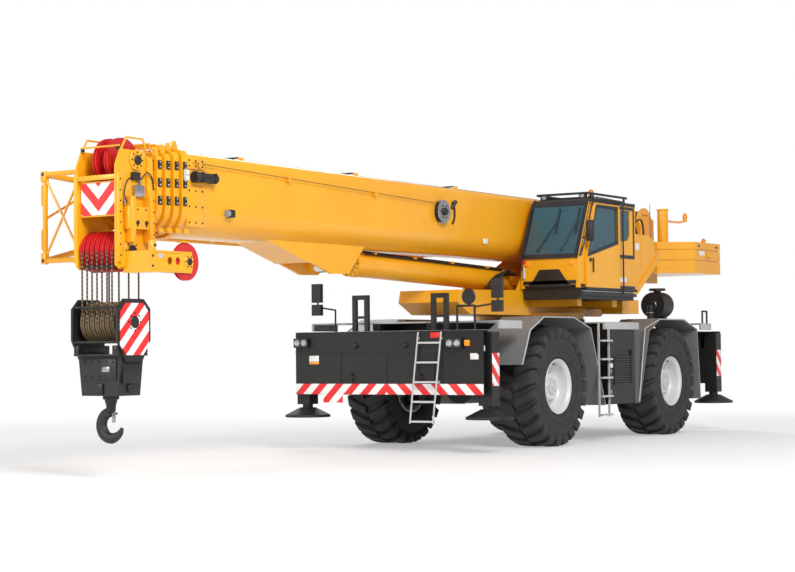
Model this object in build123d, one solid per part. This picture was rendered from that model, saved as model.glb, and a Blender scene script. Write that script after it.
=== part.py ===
from build123d import *

import os
from math import atan2, degrees

# Lengths are millimetres. X runs forward from the front axle, Y to the left, Z up from the ground.

# Wheels and tyres
WHEELBASE = 4200.0
WHEEL_Y = 1357.0
TYRE_RADIUS = 935.0
TYRE_WIDTH = 735.0
TYRE_BEAD_WIDTH = 580.0
RIM_FLANGE_RADIUS = 432.0
RIM_BARREL_RADIUS = 395.0
RIM_WALL = 22.0
RIM_FLANGE_THICKNESS = 28.0
RIM_DISC_OFFSET = 40.0
RIM_DISC_THICKNESS = 30.0
HUB_RADIUS = 205.0
HUB_INNER_DEPTH = 95.0
HUB_OUTER_DEPTH = 185.0
SPINDLE_RADIUS = 120.0
SPINDLE_END_WALL = 65.0
PIN_FIT = 0.4

# Steering knuckles and axles
KINGPIN_Y = 1060.0
KINGPIN_RADIUS = 45.0
KNUCKLE_RADIUS = 108.0
KNUCKLE_HALF_HEIGHT = 245.0
KNUCKLE_FLANGE_RADIUS = 150.0
YOKE_GAP = 5.0
YOKE_THICKNESS = 58.0
YOKE_HALF_WIDTH = 92.0
YOKE_WEB = 60.0
YOKE_CLEARANCE = 14.0
AXLE_TUBE_RADIUS = 130.0
DIFFERENTIAL_RADIUS = 270.0
DIFFERENTIAL_LENGTH = 430.0
STEERING_ARM_LENGTH = 330.0
STEERING_ARM_THICKNESS = 50.0

# Chassis rails
RAIL_OUTER_Y = 550.0
RAIL_WIDTH = 130.0
RAIL_ARCH_Z = 1250.0
RAIL_BELLY_Z = 870.0
RAIL_ARCH_HALF_LENGTH = 640.0
RAIL_ARCH_SLOPE = 260.0
DECK_UNDER_Z = 1930.0
DECK_THICKNESS = 20.0
DECK_HALF_WIDTH = 1700.0
DECK_EDGE_DEPTH = 120.0
DECK_EDGE_THICKNESS = 40.0
DECK_INNER_HALF_WIDTH = 940.0
CROSS_MEMBER = 160.0

# Outrigger boxes, beams, jacks and floats
BOX_FRONT_X = 2085.0
BOX_REAR_X = -6130.0
BOX_WALL = 20.0
BOX_HALF_WIDTH = 1480.0
BOX_BOTTOM_Z = 857.0
BOX_TOP_Z = 1810.0
FASCIA_HALF_WIDTH = 1678.0
FASCIA_THICKNESS = 20.0
BEAM_WIDTH = 180.0
BEAM_HEIGHT = 330.0
BEAM_WALL = 14.0
BEAM_SIDE_GAP = 5.5
BEAM_SEAT_GAP = 0.5
BEAM_HEAD_GAP = 6.0
BEAM_TAIL_MARGIN = 45.0
BEAM_PLATE_THICKNESS = 30.0
BEAM_PLATE_HEIGHT = 620.0
BEAM_STROKE = 2050.0
JACK_HOUSING_WIDTH = 230.0
JACK_HOUSING_BOTTOM_Z = 700.0
JACK_HOUSING_TOP_Z = 1780.0
JACK_RADIUS = 80.0
JACK_STROKE = 650.0
JACK_ROD_MARGIN = 60.0
JACK_HEAD_GAP = 40.0
FLOAT_RADIUS = 350.0
FLOAT_BOTTOM_Z = 500.0
FLOAT_RIM = 35.0
FLOAT_HEIGHT = 150.0
FLOAT_NECK_RADIUS = 125.0

# Fenders over the wheels
FENDER_THICKNESS = 12.0
FENDER_INNER_Y = 950.0
FENDER_OUTER_Y = 1700.0
FENDER_TOP_Z = 2020.0
FENDER_FRONT_LEG = (1190.0, 1290.0)
FENDER_FRONT_KNEE = (930.0, 1810.0)
FENDER_FRONT_CROWN = 480.0
FENDER_REAR_CROWN = 520.0
FENDER_REAR_KNEE = (1080.0, 1850.0)
FENDER_REAR_LEG = (1560.0, 600.0)
REAR_FENDER_FRONT_LEG = (1350.0, 600.0)
REAR_FENDER_REAR_LEG = (1200.0, 600.0)

# Lockers, steps, ladder and rails on the carrier
LOCKER_FRONT_X = -1750.0
LOCKER_REAR_X = -2760.0
LOCKER_INNER_Y = 960.0
LOCKER_BOTTOM_Z = 600.0
LOCKER_DEPTH = 700.0
LOCKER_GRILLE_RECESS = 25.0
GRILLE_SLAT = 22.0
GRILLE_PITCH = 60.0
STEP_FRONT_X = -1300.0
STEP_REAR_X = -1680.0
STEP_OUT = 90.0
STEP_RAIL = 22.0
STEP_PITCH = 300.0
STEP_COUNT = 5
STEP_BOTTOM_Z = 430.0
LADDER_Y0 = 480.0
LADDER_WIDTH = 400.0
LADDER_BOTTOM_Z = 440.0
LADDER_TOP_Z = 1790.0
LADDER_LEAN = 110.0
LADDER_STILE = 26.0
LADDER_RUNG_PITCH = 290.0
RAIL_TUBE_RADIUS = 17.0
MIRROR_POST_LEFT = 1440.0
MIRROR_LEFT = 1830.0
MIRROR_POST_RIGHT = -1050.0
MIRROR_RIGHT = -1380.0

# Engine, driveline and air cleaner
ENGINE_FRONT_X = -4520.0
ENGINE_REAR_X = -5740.0
ENGINE_HALF_WIDTH = 400.0
ENGINE_BOTTOM_Z = 1300.0
ENGINE_TOP_Z = 1900.0
GEARBOX_X = -2500.0
GEARBOX_LENGTH = 620.0
GEARBOX_HALF_WIDTH = 260.0
GEARBOX_BOTTOM_Z = 900.0
GEARBOX_HEIGHT = 620.0
PROPSHAFT_RADIUS = 52.0
CLEANER_X = -5850.0
CLEANER_Y = 760.0
CLEANER_Z = 2300.0
CLEANER_RADIUS = 235.0
CLEANER_LENGTH = 420.0
CLEANER_PIPE_RADIUS = 62.0
CLEANER_PIPE_END_X = -5330.0
CLEANER_CAP_RADIUS = 150.0
CLEANER_CAP_THICKNESS = 45.0
CLEANER_CAP_Z = 2610.0

# Slewing ring and superstructure frame
SLEW_X = -2100.0
RING_RADIUS = 950.0
RING_INNER_RADIUS = 780.0
RING_HEIGHT = 65.0
RING_SEAT_DEPTH = 90.0
RING_DECK_FIT = 0.4
RING_GAP = 0.5
FRAME_INNER_Y = 490.0
FRAME_PLATE = 50.0
FRAME_FLOOR_THICKNESS = 40.0
NOSE_X = 1150.0
NOSE_LOW_X = 760.0
NOSE_TOP_Z = 2450.0
NOSE_BREAK_Z = 2260.0
FRAME_TAIL_X = -5130.0
FRAME_TAIL_Z = 2720.0
FRAME_TAIL_TOP_Z = 3640.0
FRAME_TAIL_RISE_X = -4250.0
CHEEK_TOP_Z = 3560.0
CHEEK_HALF_LENGTH = 420.0

# Boom pivot and lift cylinder
PIVOT_X = -3600.0
PIVOT_Z = 3250.0
PIVOT_PIN_RADIUS = 90.0
PIVOT_TUBE_RADIUS = 165.0
LIFT_FOOT_X = -1300.0
LIFT_FOOT_Z = 2650.0
LIFT_EYE_X = 3840.0
LIFT_EYE_Z = 2805.0
LIFT_BARREL_RADIUS = 178.0
LIFT_BARREL_WALL = 45.0
LIFT_ROD_RADIUS = 130.0
LIFT_GLAND_LENGTH = 180.0
LIFT_EXPOSED_ROD = 380.0
LIFT_EYE_RADIUS = 158.0
LIFT_EYE_HALF_WIDTH = 150.0
LIFT_PIN_RADIUS = 80.0
LIFT_FOOT_RADIUS = 190.0
LIFT_SIDE_GAP = 6.0
LIFT_STROKE = 2760.0

# Telescopic boom
BOOM_TOP_Z = 4020.0
BOOM_BOTTOM_Z = 2990.0
BOOM_WIDTH = 920.0
BOOM_WALL = 12.0
BOOM_GAP = 22.0
BOOM_TOP_CORNER = 70.0
BOOM_BOTTOM_CORNER = 330.0
BOOM_REAR_X = -3900.0
BOOM_FRONT_X = 7670.0
BOOM_SECTION_STEP = 120.0
BOOM_REAR_STEP = 60.0
BOOM_STROKE = 8750.0
COLLAR_PROUD = 38.0
COLLAR_LENGTH = 100.0
PAD_LENGTH = 240.0
PAD_TOP_HALF_WIDTH = 230.0
PAD_SIDE_HALF_HEIGHT = 150.0
PAD_BOTTOM_HALF_WIDTH = 85.0
PAD_FIT = 0.4
LUG_INNER_Y = 245.0
LUG_PLATE = 45.0
LUG_TIP_X = 4150.0
LUG_TIP_Z = 2610.0
LUG_FRONT_X = 5650.0
LUG_REAR_X = 3300.0
LUG_WEB_X = 4700.0
EAR_HEIGHT = 110.0
EAR_Y = 330.0

# Boom head
HEAD_FRONT_X = 8700.0
HEAD_GAP = 40.0
HEAD_PLATE_Y = 300.0
HEAD_PLATE = 28.0
HEAD_TOP_Z = 3990.0
HEAD_BOTTOM_Z = 2540.0
UPPER_SHEAVE_X = 8335.0
UPPER_SHEAVE_Z = 3870.0
UPPER_SHEAVE_RADIUS = 290.0
LOWER_SHEAVE_X = 8440.0
LOWER_SHEAVE_Z = 2760.0
LOWER_SHEAVE_RADIUS = 250.0
SHEAVE_THICKNESS = 52.0
SHEAVE_GROOVE = 20.0
SHEAVE_LIP = 7.0
SHEAVE_PIN_RADIUS = 55.0
LOWER_SHEAVE_COUNT = 7
LOWER_SHEAVE_PITCH = 80.0
SHEAVE_SLOT_HALF_WIDTH = 150.0
BOARD_BOTTOM_Z = 3180.0
BOARD_TOP_Z = 3610.0
BOARD_THICKNESS = 10.0
BOARD_SETBACK = 60.0
ROPE_FIT = 0.5
NOSE_SHEAVE_X = 7930.0
NOSE_SHEAVE_Y = 750.0
NOSE_SHEAVE_Z = 2630.0
NOSE_SHEAVE_RADIUS = 230.0

# Hook block and its rope falls
BLOCK_HALF_WIDTH = 375.0
BLOCK_TOP_Z = 2180.0
BLOCK_SHEAVE_Z = 1900.0
BLOCK_CHEEK = 30.0
BLOCK_CHEEK_HALF_LENGTH = 300.0
BLOCK_CHEEK_BOTTOM_Z = 1420.0
BLOCK_LOW_TOP_Z = 1500.0
BLOCK_LOW_BOTTOM_Z = 1010.0
BLOCK_LOW_HALF_WIDTH = 290.0
BLOCK_LOW_HALF_LENGTH = 200.0
HOOK_SHANK_RADIUS = 62.0
HOOK_SHANK_DEPTH = 180.0
HOOK_END_GAP = 6.0
HOOK_COLLAR = 40.0
HOOK_BOWL_RADIUS = 165.0
HOOK_THICKNESS = 62.0
HOOK_CENTRE_Z = 645.0
ROPE_RADIUS = 11.0

# Stowed lattice jib
JIB_INNER_Y = 640.0
JIB_OUTER_Y = 1280.0
JIB_ROOT_X = 8230.0
JIB_ROOT_BOTTOM_Z = 2700.0
JIB_ROOT_TOP_Z = 3800.0
JIB_TAPER_X = 6750.0
JIB_REAR_X = -500.0
JIB_BODY_OUTER_Y = 1130.0
JIB_BODY_BOTTOM_Z = 3080.0
JIB_BODY_TOP_Z = 3680.0
JIB_CHORD_RADIUS = 40.0
JIB_LACING_RADIUS = 20.0
JIB_BAYS = 8
JIB_NODE_GAP = 75.0

# Counterweight, winches and posts
WEIGHT_FRONT_X = -5140.0
WEIGHT_SHOULDER_X = -5600.0
WEIGHT_REAR_X = -6730.0
WEIGHT_FRONT_HALF_WIDTH = 1000.0
WEIGHT_HALF_WIDTH = 1550.0
WEIGHT_BOTTOM_Z = 2870.0
WEIGHT_LEVELS = (3115.0, 3310.0, 3440.0)
WEIGHT_GROOVE = 14.0
WEIGHT_GROOVE_DEPTH = 18.0
WINCH_X = -4850.0
WINCH_Z = 3620.0
WINCH_FLANGE_RADIUS = 325.0
WINCH_DRUM_RADIUS = 230.0
WINCH_FLANGE = 30.0
AUX_WINCH_X = -5720.0
AUX_WINCH_Z = 3790.0
POST_X = -5620.0
POST_Y = 900.0
POST_RADIUS = 98.0
POST_TOP_Z = 4060.0

# Cab
CAB_FRONT_X = -850.0
CAB_REAR_X = -2980.0
CAB_INNER_Y = 560.0
CAB_OUTER_Y = 1600.0
CAB_FLOOR_Z = 2500.0
CAB_BASE_Z = 2320.0
CAB_ROOF_Z = 3960.0
CAB_SILL_Z = 3020.0
CAB_ROOF_FRONT_X = -1270.0
CAB_WALL = 45.0
CAB_FLOOR_THICKNESS = 50.0
CAB_ROOF_THICKNESS = 60.0
WINDOW_MARGIN = 85.0
GLASS_THICKNESS = 8.0
SIDE_WINDOW_LOW_Z = 3060.0
REAR_WINDOW_LOW_Z = 3150.0
DOOR_FRONT_X = -1080.0
DOOR_REAR_X = -2280.0
DOOR_THICKNESS = 40.0
DOOR_GAP = 6.0
DOOR_OVERLAP = 55.0
DOOR_SILL_FRONT_Z = 3030.0
DOOR_SILL_REAR_Z = 3270.0
DOOR_WINDOW_TOP_Z = 3830.0
DOOR_STROKE = 650.0
DOOR_RAIL_HEIGHT = 36.0
CAB_FOOT_HEIGHT = 110.0

# Sizes worked out from those above
AXLE_Z = TYRE_RADIUS
DECK_TOP_Z = DECK_UNDER_Z + DECK_THICKNESS
RING_TOP_Z = DECK_TOP_Z + RING_HEIGHT
FRAME_BOTTOM_Z = RING_TOP_Z + RING_GAP + RING_HEIGHT - 5.0
BOX_DEPTH = 3 * BOX_WALL + 2 * BEAM_WIDTH + 4 * BEAM_SIDE_GAP
BEAM_OFFSET = (BOX_WALL + BEAM_WIDTH) / 2 + BEAM_SIDE_GAP
BEAM_BOTTOM_Z = BOX_BOTTOM_Z + BOX_WALL + BEAM_SEAT_GAP
JACK_Y = BOX_HALF_WIDTH + 5.0 + BEAM_PLATE_THICKNESS + JACK_HOUSING_WIDTH / 2
BOOM_PITCH = BOOM_WALL + BOOM_GAP
BOOM_CENTRE_Z = (BOOM_TOP_Z + BOOM_BOTTOM_Z) / 2
BOOM_HEIGHT = BOOM_TOP_Z - BOOM_BOTTOM_Z
LIFT_SLOPE = degrees(atan2(LIFT_EYE_Z - LIFT_FOOT_Z, LIFT_EYE_X - LIFT_FOOT_X))
LIFT_LENGTH = ((LIFT_EYE_X - LIFT_FOOT_X) ** 2 + (LIFT_EYE_Z - LIFT_FOOT_Z) ** 2) ** 0.5
HEAD_REAR_X = BOOM_FRONT_X + 3 * BOOM_SECTION_STEP + HEAD_GAP
LENGTH_REAR_X = WEIGHT_REAR_X
LENGTH_FRONT_X = LOWER_SHEAVE_X + BLOCK_CHEEK_HALF_LENGTH
CENTRE_X = (LENGTH_REAR_X + LENGTH_FRONT_X) / 2

CORNERS = {
    "front_left": (0.0, 1),
    "front_right": (0.0, -1),
    "rear_left": (-WHEELBASE, 1),
    "rear_right": (-WHEELBASE, -1),
}


def block(x0, x1, y0, y1, z0, z1):
    """A box between two corners."""
    return Pos((x0 + x1) / 2, (y0 + y1) / 2, (z0 + z1) / 2) * Box(abs(x1 - x0), abs(y1 - y0), abs(z1 - z0))


def bar(start, end, radius):
    """A round bar from one point to another."""
    axis = Vector(*end) - Vector(*start)
    return Plane(origin=Vector(*start), z_dir=axis) * Pos(0, 0, axis.length / 2) * Cylinder(radius, axis.length)


def rod_x(x0, x1, y, z, radius):
    """A round bar along X."""
    return Pos((x0 + x1) / 2, y, z) * Rot(0, 90, 0) * Cylinder(radius, abs(x1 - x0))


def rod_y(y0, y1, x, z, radius):
    """A round bar along Y."""
    return Pos(x, (y0 + y1) / 2, z) * Rot(90, 0, 0) * Cylinder(radius, abs(y1 - y0))


def rod_z(z0, z1, x, y, radius):
    """A round bar along Z."""
    return Pos(x, y, (z0 + z1) / 2) * Cylinder(radius, abs(z1 - z0))


def plate_xz(points, y0, y1):
    """An outline of (x, z) points, extruded along Y."""
    outline = Polyline(*[(x, y0, z) for x, z in points], close=True)
    return extrude(make_face(outline), amount=y1 - y0, dir=(0, 1, 0))


def plate_yz(points, x0, x1):
    """An outline of (y, z) points, extruded along X."""
    outline = Polyline(*[(x0, y, z) for y, z in points], close=True)
    return extrude(make_face(outline), amount=x1 - x0, dir=(1, 0, 0))


def plate_xy(points, z0, z1):
    """An outline of (x, y) points, extruded along Z."""
    outline = Polyline(*[(x, y, z0) for x, y in points], close=True)
    return extrude(make_face(outline), amount=z1 - z0, dir=(0, 0, 1))


def both_sides(shape):
    """A left-hand piece and its right-hand twin."""
    return [shape, mirror(shape, about=Plane.XZ)]


def joined(*shapes):
    """One body fused from touching shapes, given singly or in lists."""
    flat = []
    for shape in shapes:
        flat.extend(shape if isinstance(shape, list) else [shape])
    return flat[0] + flat[1:] if len(flat) > 1 else flat[0]


def at_corner(shape, axle_x, side):
    """A front-left piece, carried to another corner of the carrier."""
    placed = shape if side > 0 else mirror(shape, about=Plane.XZ)
    return Pos(axle_x, 0, 0) * placed


# Running gear

def tyre():
    """The left front tyre, a closed ring with a rounded casing."""
    half = TYRE_WIDTH / 2
    bead = TYRE_BEAD_WIDTH / 2
    inner = RIM_BARREL_RADIUS + PIN_FIT
    wall = TYRE_RADIUS - inner
    side = [
        (bead, inner),
        (bead, RIM_FLANGE_RADIUS + PIN_FIT),
        (bead + 0.62 * (half - bead), inner + 0.24 * wall),
        (half, inner + 0.50 * wall),
        (half - 0.03 * TYRE_WIDTH, inner + 0.88 * wall),
        (half - 0.16 * TYRE_WIDTH, TYRE_RADIUS),
    ]
    profile = [(y, r) for y, r in side] + [(-y, r) for y, r in reversed(side)]
    outline = make_face(Polyline(*[(0, y, r) for y, r in profile], close=True))
    return Pos(0, WHEEL_Y, AXLE_Z) * revolve(outline, Axis.Y, 360)


def rim():
    """The left front rim with its disc, planetary hub and spindle bore."""
    bead = TYRE_BEAD_WIDTH / 2 + PIN_FIT
    edge = bead + RIM_FLANGE_THICKNESS
    barrel = rod_y(-edge, edge, 0, 0, RIM_BARREL_RADIUS)
    flanges = [rod_y(bead, edge, 0, 0, RIM_FLANGE_RADIUS), rod_y(-edge, -bead, 0, 0, RIM_FLANGE_RADIUS)]
    ring = joined(barrel, flanges) - rod_y(-edge, edge, 0, 0, RIM_BARREL_RADIUS - RIM_WALL)
    disc = rod_y(RIM_DISC_OFFSET, RIM_DISC_OFFSET + RIM_DISC_THICKNESS, 0, 0, RIM_BARREL_RADIUS - RIM_WALL / 2)
    hub = rod_y(-HUB_INNER_DEPTH, HUB_OUTER_DEPTH, 0, 0, HUB_RADIUS)
    bore = rod_y(-HUB_INNER_DEPTH, HUB_OUTER_DEPTH - SPINDLE_END_WALL, 0, 0, SPINDLE_RADIUS + PIN_FIT)
    return Pos(0, WHEEL_Y, AXLE_Z) * (joined(ring, disc, hub) - bore)


def knuckle():
    """The left front steering knuckle with kingpins, spindle and steering arm."""
    body = rod_z(-KNUCKLE_HALF_HEIGHT, KNUCKLE_HALF_HEIGHT, 0, KINGPIN_Y, KNUCKLE_RADIUS)
    pin_end = KNUCKLE_HALF_HEIGHT + YOKE_GAP + YOKE_THICKNESS
    pins = rod_z(-pin_end, pin_end, 0, KINGPIN_Y, KINGPIN_RADIUS)
    hub_face = WHEEL_Y - HUB_INNER_DEPTH
    flange = rod_y(KINGPIN_Y, hub_face - YOKE_CLEARANCE, 0, 0, KNUCKLE_FLANGE_RADIUS)
    spindle_end = WHEEL_Y + HUB_OUTER_DEPTH - SPINDLE_END_WALL - YOKE_GAP
    spindle = rod_y(KINGPIN_Y, spindle_end, 0, 0, SPINDLE_RADIUS)
    arm_z = -KNUCKLE_RADIUS
    arm = block(-STEERING_ARM_LENGTH, 0, KINGPIN_Y - 45, KINGPIN_Y + 30, arm_z, arm_z + STEERING_ARM_THICKNESS)
    return Pos(0, 0, AXLE_Z) * joined(body, pins, flange, spindle, arm)


def axle():
    """A drive axle with its differential, end yokes and chassis seats."""
    web_y = KINGPIN_Y - KNUCKLE_FLANGE_RADIUS - YOKE_CLEARANCE
    yoke_in = KNUCKLE_HALF_HEIGHT + YOKE_GAP
    yoke_out = yoke_in + YOKE_THICKNESS
    tube = rod_y(-web_y + YOKE_WEB / 2, web_y - YOKE_WEB / 2, 0, 0, AXLE_TUBE_RADIUS)
    bowl = rod_x(-DIFFERENTIAL_LENGTH / 2, DIFFERENTIAL_LENGTH / 2, 0, 0, DIFFERENTIAL_RADIUS)
    pieces = [bowl]
    for side in (1, -1):
        web = block(-YOKE_HALF_WIDTH, YOKE_HALF_WIDTH, side * (web_y - YOKE_WEB), side * web_y, -yoke_out, yoke_out)
        pieces.append(web)
        for z0, z1 in ((yoke_in, yoke_out), (-yoke_out, -yoke_in)):
            arm = block(-YOKE_HALF_WIDTH, YOKE_HALF_WIDTH, side * (web_y - YOKE_WEB), side * KINGPIN_Y, z0, z1)
            eye = rod_z(z0, z1, 0, side * KINGPIN_Y, YOKE_HALF_WIDTH)
            pieces.extend([arm, eye])
        seat_top = RAIL_ARCH_Z - AXLE_Z
        pieces.append(block(-110, 110, side * (RAIL_OUTER_Y - RAIL_WIDTH), side * RAIL_OUTER_Y, 0, seat_top))
    housing = joined(tube, pieces)
    for side in (1, -1):
        housing -= rod_z(-yoke_out, yoke_out, 0, side * KINGPIN_Y, KINGPIN_RADIUS + PIN_FIT)
    return Pos(0, 0, AXLE_Z) * housing


# Carrier

def rail_outline():
    """The side view of a chassis rail, arched over both axles."""
    front = BOX_FRONT_X - BOX_DEPTH / 2
    rear = BOX_REAR_X + BOX_DEPTH / 2
    points = [(front, DECK_UNDER_Z), (front, RAIL_BELLY_Z)]
    for centre in (0.0, -WHEELBASE):
        points.append((centre + RAIL_ARCH_HALF_LENGTH + RAIL_ARCH_SLOPE, RAIL_BELLY_Z))
        points.append((centre + RAIL_ARCH_HALF_LENGTH, RAIL_ARCH_Z))
        points.append((centre - RAIL_ARCH_HALF_LENGTH, RAIL_ARCH_Z))
        points.append((centre - RAIL_ARCH_HALF_LENGTH - RAIL_ARCH_SLOPE, RAIL_BELLY_Z))
    points.extend([(rear, RAIL_BELLY_Z), (rear, DECK_UNDER_Z)])
    return points


def chassis_frame():
    """Two deep rails joined by cross members and a ring seat."""
    inner = RAIL_OUTER_Y - RAIL_WIDTH
    rails = both_sides(plate_xz(rail_outline(), inner, RAIL_OUTER_Y))
    middle = -WHEELBASE / 2
    crossings = []
    for x in (1300.0, middle + 950.0, middle - 950.0):
        crossings.append(block(x - CROSS_MEMBER / 2, x + CROSS_MEMBER / 2, -inner, inner, RAIL_ARCH_Z + 250, DECK_UNDER_Z))
    seat = rod_z(DECK_UNDER_Z - RING_SEAT_DEPTH, RING_TOP_Z, SLEW_X, 0, RING_RADIUS) - rod_z(
        DECK_UNDER_Z - RING_SEAT_DEPTH, RING_TOP_Z, SLEW_X, 0, RING_INNER_RADIUS)
    return joined(rails, crossings, seat)


def outrigger_box(centre_x, outward):
    """A welded box with two beam tunnels, side by side, and a wide outer fascia."""
    half = BOX_DEPTH / 2
    z_tunnel = BEAM_BOTTOM_Z + BEAM_HEIGHT + BEAM_HEAD_GAP
    walls = []
    for x0, x1 in ((-half, -half + BOX_WALL), (-BOX_WALL / 2, BOX_WALL / 2), (half - BOX_WALL, half)):
        top = z_tunnel if x0 == -BOX_WALL / 2 else BOX_TOP_Z
        walls.append(block(x0, x1, -BOX_HALF_WIDTH, BOX_HALF_WIDTH, BOX_BOTTOM_Z, top))
    plates = [
        block(-half, half, -BOX_HALF_WIDTH, BOX_HALF_WIDTH, BOX_BOTTOM_Z, BOX_BOTTOM_Z + BOX_WALL),
        block(-half, half, -BOX_HALF_WIDTH, BOX_HALF_WIDTH, z_tunnel, z_tunnel + BOX_WALL),
        block(-half, half, -BOX_HALF_WIDTH, BOX_HALF_WIDTH, BOX_TOP_Z - BOX_WALL, BOX_TOP_Z),
    ]
    face = block(half, half + FASCIA_THICKNESS, -FASCIA_HALF_WIDTH, FASCIA_HALF_WIDTH, BOX_BOTTOM_Z, BOX_TOP_Z)
    box = joined(walls, plates, face)
    if outward < 0:
        box = Rot(0, 0, 180) * box
    return Pos(centre_x, 0, 0) * box


def outrigger_beam():
    """A hollow beam that slides out to the left, with its end plate and jack housing."""
    tail = -BOX_HALF_WIDTH + BEAM_TAIL_MARGIN
    tip = BOX_HALF_WIDTH + 5.0
    x0 = BEAM_OFFSET - BEAM_WIDTH / 2
    x1 = BEAM_OFFSET + BEAM_WIDTH / 2
    z1 = BEAM_BOTTOM_Z + BEAM_HEIGHT
    tube = block(x0, x1, tail, tip, BEAM_BOTTOM_Z, z1) - block(
        x0 + BEAM_WALL, x1 - BEAM_WALL, tail, tip, BEAM_BOTTOM_Z + BEAM_WALL, z1 - BEAM_WALL)
    plate_end = tip + BEAM_PLATE_THICKNESS
    plate = block(-x1, x1, tip, plate_end, BEAM_BOTTOM_Z, BEAM_BOTTOM_Z + BEAM_PLATE_HEIGHT)
    half = JACK_HOUSING_WIDTH / 2
    housing = block(-half, half, plate_end, plate_end + JACK_HOUSING_WIDTH, JACK_HOUSING_BOTTOM_Z, JACK_HOUSING_TOP_Z)
    rod_top = jack_rod_top()
    bore = rod_z(JACK_HOUSING_BOTTOM_Z, rod_top + JACK_HEAD_GAP, 0, JACK_Y, JACK_RADIUS + PIN_FIT)
    return joined(tube, plate, housing) - bore


def jack_rod_top():
    """The height of the stowed jack rod's upper end."""
    return JACK_HOUSING_TOP_Z - JACK_ROD_MARGIN - JACK_HEAD_GAP


def jack():
    """A jack rod with its float at the foot."""
    neck_z = FLOAT_BOTTOM_Z + FLOAT_HEIGHT
    rod = rod_z(FLOAT_BOTTOM_Z + FLOAT_RIM, jack_rod_top(), 0, JACK_Y, JACK_RADIUS)
    half = [
        (0, FLOAT_BOTTOM_Z),
        (FLOAT_RADIUS, FLOAT_BOTTOM_Z),
        (FLOAT_RADIUS, FLOAT_BOTTOM_Z + FLOAT_RIM),
        (FLOAT_NECK_RADIUS, neck_z),
        (0, neck_z),
    ]
    dish = revolve(make_face(Polyline(*[(x, 0, z) for x, z in half], close=True)), Axis.Z, 360)
    return joined(rod, Pos(0, JACK_Y, 0) * dish)


def place_outrigger(shape, centre_x, side):
    """A left-hand outrigger piece placed in a box, turned about for the right hand."""
    turned = shape if side > 0 else Rot(0, 0, 180) * shape
    return Pos(centre_x, 0, 0) * turned


def deck():
    """The deck plate with its light edge strips between the fenders."""
    front = BOX_FRONT_X - BOX_DEPTH / 2
    rear = BOX_REAR_X + BOX_DEPTH / 2
    spine = block(rear, front, -DECK_INNER_HALF_WIDTH, DECK_INNER_HALF_WIDTH, DECK_UNDER_Z, DECK_TOP_Z)
    bays = (
        (FENDER_FRONT_LEG[0] + 15, front),
        (-WHEELBASE + REAR_FENDER_FRONT_LEG[0] + 15, -FENDER_REAR_LEG[0] - 15),
        (rear, -WHEELBASE - REAR_FENDER_REAR_LEG[0] - 60),
    )
    pieces = []
    for x0, x1 in bays:
        y0 = DECK_INNER_HALF_WIDTH
        wing = block(x0, x1, y0, DECK_HALF_WIDTH, DECK_UNDER_Z, DECK_TOP_Z)
        lip = block(x0, x1, DECK_HALF_WIDTH - DECK_EDGE_THICKNESS, DECK_HALF_WIDTH,
                    DECK_TOP_Z - DECK_EDGE_DEPTH, DECK_TOP_Z)
        pieces.extend(both_sides(wing) + both_sides(lip))
    plate = joined(spine, pieces)
    return plate - rod_z(DECK_UNDER_Z, DECK_TOP_Z, SLEW_X, 0, RING_RADIUS + RING_DECK_FIT)


def fender(centre_x, front_leg, rear_leg):
    """An arched fender shell over one left wheel."""
    outer = [
        (front_leg[0], front_leg[1]),
        (FENDER_FRONT_KNEE[0], FENDER_FRONT_KNEE[1]),
        (FENDER_FRONT_CROWN, FENDER_TOP_Z),
        (-FENDER_REAR_CROWN, FENDER_TOP_Z),
        (-FENDER_REAR_KNEE[0], FENDER_REAR_KNEE[1]),
        (-rear_leg[0], rear_leg[1]),
    ]
    path = Polyline(*[(x, 0, z) for x, z in outer])
    band = offset_band(outer, FENDER_THICKNESS)
    shell = plate_xz(band, FENDER_INNER_Y, FENDER_OUTER_Y)
    return Pos(centre_x, 0, 0) * shell


def offset_band(points, thickness):
    """A closed band that follows an open line of points, on its inner side."""
    inner = []
    last = len(points) - 1
    for index, (x, z) in enumerate(points):
        before = points[max(index - 1, 0)]
        after = points[min(index + 1, last)]
        along_in = Vector(x - before[0], z - before[1], 0)
        along_out = Vector(after[0] - x, after[1] - z, 0)
        if index == 0:
            along_in = along_out
        if index == last:
            along_out = along_in
        normal_in = Vector(along_in.Y, -along_in.X, 0).normalized()
        normal_out = Vector(along_out.Y, -along_out.X, 0).normalized()
        middle = (normal_in + normal_out).normalized()
        reach = thickness / middle.dot(normal_in)
        inner.append((x - middle.X * reach, z - middle.Y * reach))
    return list(points) + inner[::-1]


def fenders():
    """All four fender shells, with brackets to the deck spine."""
    left = [
        fender(0.0, FENDER_FRONT_LEG, FENDER_REAR_LEG),
        fender(-WHEELBASE, REAR_FENDER_FRONT_LEG, REAR_FENDER_REAR_LEG),
    ]
    pieces = []
    for shell, centre in zip(left, (0.0, -WHEELBASE)):
        top = FENDER_TOP_Z - FENDER_THICKNESS
        bracket = block(centre - 200, centre + 200, DECK_INNER_HALF_WIDTH, FENDER_INNER_Y + 60, DECK_UNDER_Z, top)
        pieces.extend(both_sides(joined(shell, bracket)))
    return pieces


def locker():
    """The left side locker with a slatted grille in its outer face."""
    outer = LOCKER_INNER_Y + LOCKER_DEPTH
    body = block(LOCKER_REAR_X, LOCKER_FRONT_X, LOCKER_INNER_Y, outer, LOCKER_BOTTOM_Z, DECK_UNDER_Z)
    x0 = LOCKER_REAR_X + 120
    x1 = LOCKER_FRONT_X - 240
    z0 = LOCKER_BOTTOM_Z + 330
    z1 = z0 + 560
    body -= block(x0, x1, outer - LOCKER_GRILLE_RECESS, outer, z0, z1)
    hanger = block(LOCKER_REAR_X + 100, LOCKER_FRONT_X - 100, RAIL_OUTER_Y, LOCKER_INNER_Y, 1500, 1600)
    return joined(body, hanger)


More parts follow.
